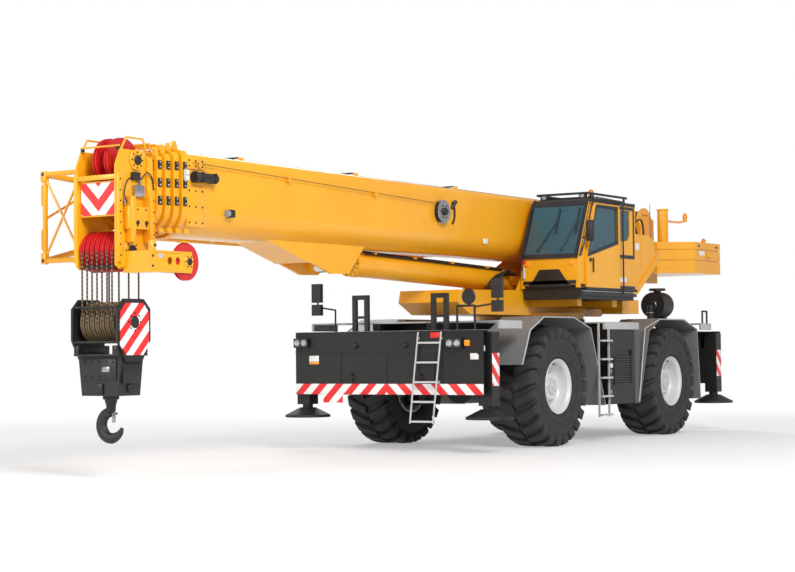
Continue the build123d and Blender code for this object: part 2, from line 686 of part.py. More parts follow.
def side_steps():
    """The access steps that hang from the left deck edge."""
    y0 = DECK_HALF_WIDTH
    y1 = DECK_HALF_WIDTH + STEP_OUT
    top = DECK_TOP_Z - 20
    stiles = [
        block(x, x + STEP_RAIL, y0, y0 + 30, STEP_BOTTOM_Z - 20, top)
        for x in (STEP_REAR_X, STEP_FRONT_X - STEP_RAIL)
    ]
    treads = []
    for index in range(STEP_COUNT):
        z = STEP_BOTTOM_Z + index * STEP_PITCH
        treads.append(block(STEP_REAR_X, STEP_FRONT_X, y0, y1, z, z + 28))
    return joined(stiles, treads)


def front_ladder():
    """The ladder that leans on the front fascia."""
    face = BOX_FRONT_X + BOX_DEPTH / 2 + FASCIA_THICKNESS
    pieces = []
    for offset in (0.0, LADDER_WIDTH):
        y = LADDER_Y0 + offset
        foot = (face + 120, y, LADDER_BOTTOM_Z)
        head = (face + 40, y + LADDER_LEAN, LADDER_TOP_Z)
        pieces.append(bar(foot, head, LADDER_STILE / 2))
        for share in (0.45, 0.93):
            x = foot[0] + share * (head[0] - foot[0])
            yy = foot[1] + share * (head[1] - foot[1])
            z = foot[2] + share * (head[2] - foot[2])
            pieces.append(block(face, x, yy - 10, yy + 10, z - 20, z + 20))
    count = int((LADDER_TOP_Z - LADDER_BOTTOM_Z) / LADDER_RUNG_PITCH) + 1
    for index in range(count):
        share = (30 + index * LADDER_RUNG_PITCH) / (LADDER_TOP_Z - LADDER_BOTTOM_Z)
        x = face + 120 - share * 80
        y = LADDER_Y0 + share * LADDER_LEAN
        z = LADDER_BOTTOM_Z + share * (LADDER_TOP_Z - LADDER_BOTTOM_Z)
        pieces.append(block(x - 20, x + 20, y, y + LADDER_WIDTH, z - 14, z + 14))
    return joined(pieces)


def tube_path(points, radius):
    """A bent round tube through a row of points, with ball corners."""
    pieces = [bar(a, b, radius) for a, b in zip(points, points[1:])]
    pieces.extend(Pos(*p) * Sphere(radius) for p in points[1:-1])
    return joined(pieces)


def deck_rails():
    """The grab rails and the two boom rest frames on the deck."""
    pieces = []
    front = BOX_FRONT_X
    pieces.append(tube_path([(front, 1100, BOX_TOP_Z), (front, 1100, 2170), (front, 1400, 2170),
                             (front, 1400, BOX_TOP_Z)], RAIL_TUBE_RADIUS))
    y = DECK_HALF_WIDTH - DECK_EDGE_THICKNESS / 2
    pieces.append(tube_path([(-5560, y, DECK_TOP_Z), (-5560, y, 2170), (-5760, y, 2170),
                             (-5760, y, DECK_TOP_Z)], RAIL_TUBE_RADIUS))
    for y0 in (-800.0, 620.0):
        x = front - 90
        outer = block(x, x + 60, y0, y0 + 290, BOX_TOP_Z, 2370)
        window = block(x, x + 60, y0 + 70, y0 + 220, BOX_TOP_Z, 2300)
        bridge = block(x, x + 60, y0 + 60, y0 + 230, 2010, 2050)
        pieces.append(joined(outer - window, bridge))
    return pieces


def mirror_set(post_y, outer):
    """A door mirror, a wide mirror and their post."""
    x = BOX_FRONT_X + 60
    pieces = [
        tube_path([(x, post_y, BOX_TOP_Z), (x, post_y, 2150), (x, outer, 2200), (x, outer, 2520)], 14.0),
        block(x - 20, x + 50, outer - 85, outer + 85, 2270, 2560),
        block(x - 20, x + 50, outer - 85, outer + 85, 2070, 2240),
    ]
    return joined(pieces)


def mirrors():
    """Both mirror sets on the front box."""
    return [mirror_set(MIRROR_POST_LEFT, MIRROR_LEFT), mirror_set(MIRROR_POST_RIGHT, MIRROR_RIGHT)]


def lamps():
    """The head lamps, with their black pods."""
    face = BOX_FRONT_X + BOX_DEPTH / 2 + FASCIA_THICKNESS
    pods = []
    for y, z in ((1210.0, 1620.0), (-1540.0, 1650.0)):
        pods.append(block(face, face + 70, y - 130, y + 130, z - 70, z + 70))
    rear = BOX_REAR_X - BOX_DEPTH / 2 - FASCIA_THICKNESS
    for y in (1450.0, -1450.0):
        pods.append(block(rear - 60, rear, y - 150, y + 150, 1560, 1680))
    return pods


def engine():
    """The engine as one plain block between the rear rails."""
    inner = RAIL_OUTER_Y - RAIL_WIDTH
    body = block(ENGINE_REAR_X, ENGINE_FRONT_X, -ENGINE_HALF_WIDTH, ENGINE_HALF_WIDTH, ENGINE_BOTTOM_Z, ENGINE_TOP_Z)
    mounts = [
        block(x - 60, x + 60, -inner, inner, ENGINE_BOTTOM_Z + 150, ENGINE_BOTTOM_Z + 230)
        for x in (ENGINE_REAR_X + 200, ENGINE_FRONT_X - 200)
    ]
    return joined(body, mounts)


def driveline():
    """The gearbox and the shafts that run from it to the axles and the engine."""
    inner = RAIL_OUTER_Y - RAIL_WIDTH
    x0 = GEARBOX_X - GEARBOX_LENGTH / 2
    x1 = GEARBOX_X + GEARBOX_LENGTH / 2
    top = GEARBOX_BOTTOM_Z + GEARBOX_HEIGHT
    box = block(x0, x1, -GEARBOX_HALF_WIDTH, GEARBOX_HALF_WIDTH, GEARBOX_BOTTOM_Z, top)
    mount = block(GEARBOX_X - 60, GEARBOX_X + 60, -inner, inner, top - 160, top - 60)
    front = rod_x(x1, -DIFFERENTIAL_LENGTH / 2, 0, AXLE_Z + 40, PROPSHAFT_RADIUS)
    rear = rod_x(-WHEELBASE + DIFFERENTIAL_LENGTH / 2, x0, 0, AXLE_Z + 40, PROPSHAFT_RADIUS)
    upper = rod_x(ENGINE_FRONT_X, x0, 0, top - 90, PROPSHAFT_RADIUS)
    return joined(box, mount, front, rear, upper)


def air_cleaner():
    """The drum of the air cleaner with its rain cap and trunk."""
    drum = rod_x(CLEANER_X, CLEANER_X + CLEANER_LENGTH, CLEANER_Y, CLEANER_Z, CLEANER_RADIUS)
    stub = rod_z(CLEANER_Z, CLEANER_CAP_Z, CLEANER_X + CLEANER_LENGTH / 2, CLEANER_Y, 70)
    cap = rod_z(CLEANER_CAP_Z - CLEANER_CAP_THICKNESS, CLEANER_CAP_Z, CLEANER_X + CLEANER_LENGTH / 2, CLEANER_Y,
                CLEANER_CAP_RADIUS)
    pipe = rod_x(CLEANER_X + CLEANER_LENGTH - 10, CLEANER_PIPE_END_X, CLEANER_Y, CLEANER_Z, CLEANER_PIPE_RADIUS)
    drop = rod_z(DECK_TOP_Z, CLEANER_Z, CLEANER_PIPE_END_X, CLEANER_Y, CLEANER_PIPE_RADIUS)
    foot = block(CLEANER_X + 60, CLEANER_X + 160, CLEANER_Y - 120, CLEANER_Y + 120, DECK_TOP_Z, CLEANER_Z)
    return joined(drum, stub, cap, pipe, drop, foot)


# Superstructure

def turntable():
    """The slewing ring's upper race, the side plates, nose and tail of the superstructure."""
    race = rod_z(RING_TOP_Z + RING_GAP, FRAME_BOTTOM_Z + 5, SLEW_X, 0, RING_RADIUS - 20) - rod_z(
        RING_TOP_Z + RING_GAP, FRAME_BOTTOM_Z + 5, SLEW_X, 0, RING_INNER_RADIUS)
    outer = FRAME_INNER_Y + FRAME_PLATE
    floor = block(SLEW_X - RING_RADIUS - 400, NOSE_LOW_X, -outer, outer, FRAME_BOTTOM_Z,
                  FRAME_BOTTOM_Z + FRAME_FLOOR_THICKNESS)
    skirt = rod_z(FRAME_BOTTOM_Z, FRAME_BOTTOM_Z + FRAME_FLOOR_THICKNESS, SLEW_X, 0, RING_RADIUS)
    profile = [
        (NOSE_LOW_X, FRAME_BOTTOM_Z),
        (NOSE_X, NOSE_BREAK_Z),
        (NOSE_X - 60, NOSE_TOP_Z),
        (-780.0, NOSE_TOP_Z + 30),
        (LIFT_FOOT_X + LIFT_FOOT_RADIUS + 40, LIFT_FOOT_Z + LIFT_FOOT_RADIUS),
        (LIFT_FOOT_X - LIFT_FOOT_RADIUS - 300, LIFT_FOOT_Z + LIFT_FOOT_RADIUS + 60),
        (PIVOT_X + CHEEK_HALF_LENGTH, CHEEK_TOP_Z - 60),
        (PIVOT_X + CHEEK_HALF_LENGTH - 150, CHEEK_TOP_Z),
        (PIVOT_X - CHEEK_HALF_LENGTH, CHEEK_TOP_Z),
        (WINCH_X + WINCH_FLANGE_RADIUS, FRAME_TAIL_TOP_Z),
        (FRAME_TAIL_X, FRAME_TAIL_TOP_Z),
        (FRAME_TAIL_X, FRAME_TAIL_Z),
        (FRAME_TAIL_RISE_X, FRAME_BOTTOM_Z + 250),
        (FRAME_TAIL_RISE_X + 500, FRAME_BOTTOM_Z),
    ]
    plates = both_sides(plate_xz(profile, FRAME_INNER_Y, outer))
    nose = plate_xz([(NOSE_LOW_X, FRAME_BOTTOM_Z), (NOSE_X, NOSE_BREAK_Z), (NOSE_X - 60, NOSE_TOP_Z),
                     (NOSE_X - 110, NOSE_TOP_Z), (NOSE_X - 55, NOSE_BREAK_Z + 15),
                     (NOSE_LOW_X - 60, FRAME_BOTTOM_Z)], -outer, outer)
    pin = rod_y(-outer - 30, outer, PIVOT_X, PIVOT_Z, PIVOT_PIN_RADIUS)
    foot_pin = rod_y(-outer, outer, LIFT_FOOT_X, LIFT_FOOT_Z, LIFT_PIN_RADIUS)
    rear_wall = block(FRAME_TAIL_X, FRAME_TAIL_X + 50, -outer, outer, FRAME_TAIL_Z, WEIGHT_LEVELS[2] - 120)
    tail_beams = both_sides(block(WEIGHT_REAR_X + 600, FRAME_TAIL_X, FRAME_INNER_Y - 130, outer,
                                  FRAME_TAIL_Z, WEIGHT_BOTTOM_Z))
    brackets = [
        block(x - 80, x + 80, outer, CAB_OUTER_Y - 200, CAB_BASE_Z - CAB_FOOT_HEIGHT, CAB_BASE_Z)
        for x in (CAB_FRONT_X - 420, CAB_REAR_X + 420)
    ]
    return joined(race, floor, skirt, plates, nose, pin, foot_pin, rear_wall, tail_beams, brackets)


def weight_outline(inset):
    """The counterweight in plan, drawn in by an inset."""
    return [
        (WEIGHT_FRONT_X - inset, WEIGHT_FRONT_HALF_WIDTH - inset),
        (WEIGHT_SHOULDER_X, WEIGHT_HALF_WIDTH - inset),
        (WEIGHT_REAR_X + inset, WEIGHT_HALF_WIDTH - inset),
        (WEIGHT_REAR_X + inset, -WEIGHT_HALF_WIDTH + inset),
        (WEIGHT_SHOULDER_X, -WEIGHT_HALF_WIDTH + inset),
        (WEIGHT_FRONT_X - inset, -WEIGHT_FRONT_HALF_WIDTH + inset),
    ]


def counterweight():
    """Three stacked slabs with grooves between them."""
    slabs = [plate_xy(weight_outline(WEIGHT_GROOVE_DEPTH), WEIGHT_BOTTOM_Z, WEIGHT_LEVELS[2])]
    bottom = WEIGHT_BOTTOM_Z
    for level in WEIGHT_LEVELS:
        top = level if level == WEIGHT_LEVELS[-1] else level - WEIGHT_GROOVE
        slabs.append(plate_xy(weight_outline(0.0), bottom, top))
        bottom = level
    return joined(slabs)


def winches():
    """The main and auxiliary winch drums with their cheeks."""
    pieces = []
    for x, z in ((WINCH_X, WINCH_Z), (AUX_WINCH_X, AUX_WINCH_Z)):
        half = FRAME_INNER_Y
        drum = rod_y(-half, half, x, z, WINCH_DRUM_RADIUS)
        flanges = [
            rod_y(side * (half - WINCH_FLANGE), side * half, x, z, WINCH_FLANGE_RADIUS) for side in (1, -1)
        ]
        pieces.append(joined(drum, flanges))
    top = WEIGHT_LEVELS[2]
    cradle = [
        block(AUX_WINCH_X - 280, AUX_WINCH_X + 280, side * FRAME_INNER_Y, side * (FRAME_INNER_Y + FRAME_PLATE),
              top, AUX_WINCH_Z + 120)
        for side in (1, -1)
    ]
    pieces[1] = joined(pieces[1], cradle)
    return pieces


def tail_posts():
    """The two upright counterweight cylinders."""
    top = WEIGHT_LEVELS[2]
    return both_sides(rod_z(top, POST_TOP_Z, POST_X, POST_Y, POST_RADIUS))


def tail_unit():
    """The rounded hydraulic tank and the strut plate behind the cab."""
    profile = [
        (CAB_REAR_X - 60, 2620), (CAB_REAR_X - 60, 3490), (-4050, 3490), (-4250, 3400), (-4330, 3200), (-4300, 3080),
        (-3650, 2620),
    ]
    tank = plate_xz(profile, FRAME_INNER_Y + FRAME_PLATE, 1350)
    strut = plate_xz([(CAB_REAR_X - 60, 2450), (-3520, 2450), (-4450, 3080), (-4450, 3220), (-3600, 2620),
                      (CAB_REAR_X - 60, 2620)], FRAME_INNER_Y + FRAME_PLATE, 1380)
    box = block(-3700, -3060, 900, 1300, 2110, 2350)
    box_foot = block(-3500, -3200, FRAME_INNER_Y + FRAME_PLATE, 900, 2200, 2300)
    return [joined(tank, strut), joined(box, box_foot)]


# Cab

def cab_outline():
    """The cab in side view, from the floor to the roof's underside."""
    lean = (CAB_FRONT_X - CAB_ROOF_FRONT_X) / (CAB_ROOF_Z - CAB_SILL_Z)
    top = CAB_ROOF_Z - CAB_ROOF_THICKNESS
    return [
        (CAB_FRONT_X, CAB_FLOOR_Z),
        (CAB_FRONT_X, CAB_SILL_Z),
        (CAB_FRONT_X - lean * (top - CAB_SILL_Z), top),
        (CAB_REAR_X, top),
        (CAB_REAR_X, CAB_FLOOR_Z),
    ]


def windscreen_x(z, inset=0.0):
    """The windscreen plane's X at a height."""
    lean = (CAB_FRONT_X - CAB_ROOF_FRONT_X) / (CAB_ROOF_Z - CAB_SILL_Z)
    return CAB_FRONT_X - lean * (z - CAB_SILL_Z) - inset


def door_window():
    """The door window's corners, with a sill that climbs to the rear."""
    top = DOOR_WINDOW_TOP_Z
    return [
        (windscreen_x(DOOR_SILL_FRONT_Z, 260), DOOR_SILL_FRONT_Z),
        (windscreen_x(top, 200), top),
        (DOOR_REAR_X + 90, top),
        (DOOR_REAR_X + 90, DOOR_SILL_REAR_Z),
    ]


def door_outline():
    """The sliding door in side view."""
    top = CAB_ROOF_Z - CAB_ROOF_THICKNESS - 20
    return [
        (DOOR_FRONT_X, CAB_FLOOR_Z + 10),
        (DOOR_FRONT_X, CAB_SILL_Z - 60),
        (windscreen_x(top, 110), top),
        (DOOR_REAR_X, top),
        (DOOR_REAR_X, CAB_FLOOR_Z + 10),
    ]


def cab_side(y0, y1, openings):
    """A cab side wall with openings cut through it."""
    wall = plate_xz(cab_outline(), y0, y1)
    for points in openings:
        wall -= plate_xz(points, y0, y1)
    return wall


def rear_side_window():
    """The fixed window behind the door."""
    top = DOOR_WINDOW_TOP_Z
    return [(-2400, 3300), (-2400, top), (-2760, top), (-2760, 3430), (-2690, 3330)]


def inner_side_window():
    """The long window of the wall beside the boom."""
    top = DOOR_WINDOW_TOP_Z
    return [
        (windscreen_x(SIDE_WINDOW_LOW_Z, 150), SIDE_WINDOW_LOW_Z), (windscreen_x(top, 150), top),
        (CAB_REAR_X + 180, top), (CAB_REAR_X + 180, SIDE_WINDOW_LOW_Z),
    ]


def doorway():
    """The opening that the sliding door covers."""
    return [
        (DOOR_FRONT_X - DOOR_OVERLAP, CAB_FLOOR_Z + CAB_FLOOR_THICKNESS),
        (DOOR_FRONT_X - DOOR_OVERLAP, CAB_SILL_Z - 60),
        (windscreen_x(DOOR_WINDOW_TOP_Z, 110 + DOOR_OVERLAP), DOOR_WINDOW_TOP_Z),
        (DOOR_REAR_X + DOOR_OVERLAP, DOOR_WINDOW_TOP_Z),
        (DOOR_REAR_X + DOOR_OVERLAP, CAB_FLOOR_Z + CAB_FLOOR_THICKNESS),
    ]


def cab_walls():
    """The left, right, front and rear walls of the cab, each a panel of its own."""
    left = cab_side(CAB_OUTER_Y - CAB_WALL, CAB_OUTER_Y, [doorway(), rear_side_window()])
    right = cab_side(CAB_INNER_Y, CAB_INNER_Y + CAB_WALL, [inner_side_window()])
    y0 = CAB_INNER_Y + CAB_WALL
    y1 = CAB_OUTER_Y - CAB_WALL
    top = CAB_ROOF_Z - CAB_ROOF_THICKNESS
    front = block(CAB_FRONT_X - CAB_WALL, CAB_FRONT_X, y0, y1, CAB_FLOOR_Z + CAB_FLOOR_THICKNESS, CAB_SILL_Z)
    rear = block(CAB_REAR_X, CAB_REAR_X + CAB_WALL, y0, y1, CAB_FLOOR_Z + CAB_FLOOR_THICKNESS, top)
    rear -= block(CAB_REAR_X, CAB_REAR_X + CAB_WALL, y0 + WINDOW_MARGIN, y1 - WINDOW_MARGIN,
                  REAR_WINDOW_LOW_Z, DOOR_WINDOW_TOP_Z)
    return left, right, front, rear


def cab_base():
    """The dark plinth and the floor plate under the cab."""
    plinth = block(CAB_REAR_X + 60, CAB_FRONT_X - 60, CAB_INNER_Y + 20, CAB_OUTER_Y - 20, CAB_BASE_Z, CAB_FLOOR_Z)
    floor = block(CAB_REAR_X + CAB_WALL, CAB_FRONT_X - CAB_WALL, CAB_INNER_Y + CAB_WALL, CAB_OUTER_Y - CAB_WALL,
                  CAB_FLOOR_Z, CAB_FLOOR_Z + CAB_FLOOR_THICKNESS)
    step = block(CAB_REAR_X + 60, CAB_FRONT_X - 40, CAB_OUTER_Y - 20, CAB_OUTER_Y + 40, CAB_BASE_Z + 60,
                 CAB_BASE_Z + 110)
    rail = block(CAB_REAR_X + 40, CAB_FRONT_X - 200, CAB_OUTER_Y + DOOR_GAP, CAB_OUTER_Y + DOOR_GAP + DOOR_THICKNESS,
                 CAB_FLOOR_Z - DOOR_RAIL_HEIGHT, CAB_FLOOR_Z + 10 - BEAM_SEAT_GAP)
    rail_foot = block(CAB_REAR_X + 40, CAB_FRONT_X - 200, CAB_OUTER_Y - 20, CAB_OUTER_Y + DOOR_GAP,
                      CAB_FLOOR_Z - DOOR_RAIL_HEIGHT, CAB_FLOOR_Z - 4)
    return joined(plinth, floor, step, rail, rail_foot)


def cab_roof():
    """The roof slab."""
    slab = block(CAB_REAR_X, CAB_ROOF_FRONT_X - 25, CAB_INNER_Y, CAB_OUTER_Y,
                 CAB_ROOF_Z - CAB_ROOF_THICKNESS, CAB_ROOF_Z)
    return slab


def cab_glass():
    """The windscreen and the fixed panes."""
    top = CAB_ROOF_Z - CAB_ROOF_THICKNESS
    y0 = CAB_INNER_Y + CAB_WALL
    y1 = CAB_OUTER_Y - CAB_WALL
    screen = plate_xz([
        (windscreen_x(CAB_SILL_Z), CAB_SILL_Z), (windscreen_x(top), top),
        (windscreen_x(top, GLASS_THICKNESS), top), (windscreen_x(CAB_SILL_Z, GLASS_THICKNESS), CAB_SILL_Z),
    ], y0, y1)
    rear = block(CAB_REAR_X + CAB_WALL / 2, CAB_REAR_X + CAB_WALL / 2 + GLASS_THICKNESS, y0 + WINDOW_MARGIN,
                 y1 - WINDOW_MARGIN, REAR_WINDOW_LOW_Z, DOOR_WINDOW_TOP_Z)
    inner_y = CAB_INNER_Y + CAB_WALL / 2
    inner = plate_xz(inner_side_window(), inner_y, inner_y + GLASS_THICKNESS)
    outer_y = CAB_OUTER_Y - CAB_WALL / 2
    outer = plate_xz(rear_side_window(), outer_y, outer_y + GLASS_THICKNESS)
    return [screen, rear, inner, outer]


def cab_interior():
    """The driver's seat, console and wheel."""
    floor = CAB_FLOOR_Z + CAB_FLOOR_THICKNESS
    y = (CAB_INNER_Y + CAB_OUTER_Y) / 2
    pedestal = block(-2250, -1950, y - 150, y + 150, floor, floor + 250)
    cushion = block(-2350, -1850, y - 250, y + 250, floor + 250, floor + 390)
    back = plate_xz([(-2350, floor + 390), (-2230, floor + 390), (-2380, floor + 1050), (-2500, floor + 1050)],
                    y - 240, y + 240)
    console = block(-1250, -1000, y - 200, y + 200, floor, floor + 330)
    column = bar((-1150, y, floor + 320), (-1350, y, floor + 640), 35)
    wheel = Plane(origin=(-1350, y, floor + 640), z_dir=(-200, 0, 320)) * Cylinder(190, 30)
    return [joined(pedestal, cushion, back), joined(console, column, wheel)]


def cab_guard():
    """The tube guard over the windscreen, side and roof."""
    y0 = CAB_INNER_Y + 60
    y1 = CAB_OUTER_Y - 60
    z = CAB_ROOF_Z
    x = CAB_ROOF_FRONT_X
    hoop = tube_path([(x - 1500, y0, z + 90), (x - 60, y0, z + 90), (x - 60, y1, z + 90), (x - 1500, y1, z + 90)], 20.0)
    feet = [
        bar((px, py, z), (px, py, z + 90), 20.0)
        for px in (x - 200, x - 1400) for py in (y0, y1)
    ]
    return joined(hoop, feet)


def cab_door():
    """The sliding door's panel with its window cut."""
    y0 = CAB_OUTER_Y + DOOR_GAP
    panel = plate_xz(door_outline(), y0, y0 + DOOR_THICKNESS)
    panel -= plate_xz(door_window(), y0, y0 + DOOR_THICKNESS)
    return panel


def door_glass():
    """The pane in the sliding door."""
    y0 = CAB_OUTER_Y + DOOR_GAP + (DOOR_THICKNESS - GLASS_THICKNESS) / 2
    return plate_xz(door_window(), y0, y0 + GLASS_THICKNESS)


# Boom

def section_face(level, x, shrink=0.0):
    """The boom's cross-section for a section level, on a plane across X."""
    inset = level * BOOM_PITCH + shrink
    width = BOOM_WIDTH - 2 * inset
    height = BOOM_HEIGHT - 2 * inset
    face = Rectangle(width, height)
    top = face.vertices().group_by(Axis.Y)[-1]
    face = fillet(top, max(BOOM_TOP_CORNER - inset * 0.4, 12.0))
    bottom = face.vertices().group_by(Axis.Y)[0]
    face = fillet(bottom, BOOM_BOTTOM_CORNER - inset)
    return Plane(origin=(x, 0, BOOM_CENTRE_Z), x_dir=(0, 1, 0), z_dir=(1, 0, 0)) * face


def boom_tube(level, x0, x1):
    """One hollow boom section with its front collar and slide pads."""
    outer = extrude(section_face(level, x0), amount=x1 - x0, dir=(1, 0, 0))
    collar = extrude(section_face(level, x1 - COLLAR_LENGTH, -COLLAR_PROUD), amount=COLLAR_LENGTH, dir=(1, 0, 0))
    hollow = extrude(section_face(level, x0, BOOM_WALL), amount=x1 - x0, dir=(1, 0, 0))
    return joined(outer, collar) - hollow


def slide_pads(level, x1):
    """The wear pads inside a section's front end that carry the next section."""
    wall = level * BOOM_PITCH + BOOM_WALL
    reach = BOOM_GAP - PAD_FIT
    top = BOOM_TOP_Z - wall
    bottom = BOOM_BOTTOM_Z + wall
    side = BOOM_WIDTH / 2 - wall
    x0 = x1 - PAD_LENGTH
    z = BOOM_CENTRE_Z + 100
    pads = [
        block(x0, x1, -PAD_TOP_HALF_WIDTH, PAD_TOP_HALF_WIDTH, top - reach, top),
        block(x0, x1, -PAD_BOTTOM_HALF_WIDTH, PAD_BOTTOM_HALF_WIDTH, bottom, bottom + reach),
    ]
    for hand in (1, -1):
        pads.append(block(x0, x1, hand * (side - reach), hand * side, z - PAD_SIDE_HALF_HEIGHT, z + PAD_SIDE_HALF_HEIGHT))
    return pads


def section_front(level):
    """The front end of a boom section."""
    return BOOM_FRONT_X + level * BOOM_SECTION_STEP


def section_rear(level):
    """The rear end of an inner boom section, ahead of the pivot tube."""
    return PIVOT_X + PIVOT_TUBE_RADIUS + level * BOOM_REAR_STEP


def ears(level):
    """The rope guide ears on a section's collar."""
    x1 = section_front(level)
    top = BOOM_TOP_Z - level * BOOM_PITCH + COLLAR_PROUD
    pieces = []
    for y in (EAR_Y, -EAR_Y):
        pieces.append(plate_xz([(x1 - COLLAR_LENGTH, top - 5), (x1 - 60, top + EAR_HEIGHT), (x1 - 30, top + EAR_HEIGHT),
                                (x1, top - 5)], y - 20, y + 20))
    return pieces


def boom_base():
    """The base section with its pivot tube, collar and lift lugs."""
    tube = boom_tube(0, BOOM_REAR_X, BOOM_FRONT_X)
    pivot = rod_y(-FRAME_INNER_Y + LIFT_SIDE_GAP, FRAME_INNER_Y - LIFT_SIDE_GAP, PIVOT_X, PIVOT_Z, PIVOT_TUBE_RADIUS)
    lug_profile = [
        (LUG_FRONT_X, BOOM_BOTTOM_Z + 60), (LUG_TIP_X, LUG_TIP_Z), (LIFT_EYE_X - 120, LUG_TIP_Z + 10),
        (LUG_REAR_X, BOOM_BOTTOM_Z + 60),
    ]
    outer = LUG_INNER_Y + LUG_PLATE
    lugs = both_sides(plate_xz(lug_profile, LUG_INNER_Y, outer))
    slope = (BOOM_BOTTOM_Z - LUG_TIP_Z) / (LUG_FRONT_X - LUG_TIP_X)
    web_z = LUG_TIP_Z + slope * (LUG_WEB_X - LUG_TIP_X)
    web = plate_xz([(LUG_FRONT_X, BOOM_BOTTOM_Z + 30), (LUG_WEB_X, web_z), (LUG_WEB_X, web_z + 40),
                    (LUG_FRONT_X, BOOM_BOTTOM_Z + 60)], -outer, outer)
    boss = both_sides(rod_y(LIFT_EYE_HALF_WIDTH + LIFT_SIDE_GAP, LUG_INNER_Y, LIFT_EYE_X, LIFT_EYE_Z,
                            LIFT_PIN_RADIUS + 60))
    body = joined(tube, pivot, slide_pads(0, BOOM_FRONT_X), lugs, web, boss, ears(0))
    body -= rod_y(-FRAME_INNER_Y, FRAME_INNER_Y, PIVOT_X, PIVOT_Z, PIVOT_PIN_RADIUS + PIN_FIT)
    trim = extrude(section_face(0, PIVOT_X + PIVOT_TUBE_RADIUS, BOOM_WALL), amount=LUG_FRONT_X - PIVOT_X, dir=(1, 0, 0))
    return body - trim


def boom_section(level):
    """An inner telescopic section."""
    x1 = section_front(level)
    return joined(boom_tube(level, section_rear(level), x1), slide_pads(level, x1), ears(level))


def sheave(x, y, z, radius, thickness):
    """A rope sheave with a groove and a pin bore."""
    half = thickness / 2
    groove = radius - SHEAVE_GROOVE
    seat = ROPE_RADIUS + 2
    lip = half - SHEAVE_LIP
    profile = [
        (-half, SHEAVE_PIN_RADIUS + PIN_FIT), (-half, radius), (-lip, radius), (-seat, groove),
        (seat, groove), (lip, radius), (half, radius), (half, SHEAVE_PIN_RADIUS + PIN_FIT),
    ]
    outline = make_face(Polyline(*[(0, py, pr) for py, pr in profile], close=True))
    return Pos(x, y, z) * revolve(outline, Axis.Y, 360)


def lower_sheave_rows():
    """The Y places of the lower head sheaves."""
    first = -(LOWER_SHEAVE_COUNT - 1) / 2 * LOWER_SHEAVE_PITCH
    return [first + index * LOWER_SHEAVE_PITCH for index in range(LOWER_SHEAVE_COUNT)]


def head_sheaves():
    """The red rope sheaves of the boom head."""
    upper = [sheave(UPPER_SHEAVE_X, y, UPPER_SHEAVE_Z, UPPER_SHEAVE_RADIUS, SHEAVE_THICKNESS) for y in (-90, 90)]
    lower = [sheave(LOWER_SHEAVE_X, y, LOWER_SHEAVE_Z, LOWER_SHEAVE_RADIUS, SHEAVE_THICKNESS)
             for y in lower_sheave_rows()]
    nose = sheave(NOSE_SHEAVE_X, NOSE_SHEAVE_Y, NOSE_SHEAVE_Z, NOSE_SHEAVE_RADIUS, SHEAVE_THICKNESS)
    return upper + lower + [nose]


def boom_head():
    """The innermost section with the head plates and sheave pins."""
    tube = boom_tube(4, section_rear(4), HEAD_REAR_X + COLLAR_LENGTH)
    inner = HEAD_PLATE_Y
    outer = HEAD_PLATE_Y + HEAD_PLATE
    profile = [
        (HEAD_REAR_X, HEAD_TOP_Z - 260), (UPPER_SHEAVE_X - 160, HEAD_TOP_Z), (HEAD_FRONT_X - 90, HEAD_TOP_Z),
        (HEAD_FRONT_X, HEAD_TOP_Z - 200), (HEAD_FRONT_X, HEAD_BOTTOM_Z + 40), (HEAD_FRONT_X - 60, HEAD_BOTTOM_Z),
        (HEAD_REAR_X + 60, HEAD_BOTTOM_Z), (HEAD_REAR_X, LOWER_SHEAVE_Z + 80),
    ]
    plates = both_sides(plate_xz(profile, inner, outer))
    back = block(HEAD_REAR_X, HEAD_REAR_X + 40, -outer, outer, LOWER_SHEAVE_Z + 300, HEAD_TOP_Z - 500)
    pins = [
        rod_y(-inner, inner, UPPER_SHEAVE_X, UPPER_SHEAVE_Z, SHEAVE_PIN_RADIUS),
        rod_y(-inner, inner, LOWER_SHEAVE_X, LOWER_SHEAVE_Z, SHEAVE_PIN_RADIUS),
    ]
    board_back = block(HEAD_FRONT_X - BOARD_SETBACK - 30, HEAD_FRONT_X - BOARD_SETBACK, -inner, inner,
                       BOARD_BOTTOM_Z, BOARD_TOP_Z)
    slot = block(HEAD_REAR_X - 40, HEAD_FRONT_X, -SHEAVE_SLOT_HALF_WIDTH, SHEAVE_SLOT_HALF_WIDTH,
                 UPPER_SHEAVE_Z - UPPER_SHEAVE_RADIUS - 20, HEAD_TOP_Z)
    tube -= slot
    back -= slot
    return joined(tube, plates, back, pins, board_back)


def warning_board():
    """The chevron board between the head plates."""
    x = HEAD_FRONT_X - BOARD_SETBACK
    return block(x, x + BOARD_THICKNESS, -HEAD_PLATE_Y + 20, HEAD_PLATE_Y - 20, BOARD_BOTTOM_Z + 20, BOARD_TOP_Z - 20)


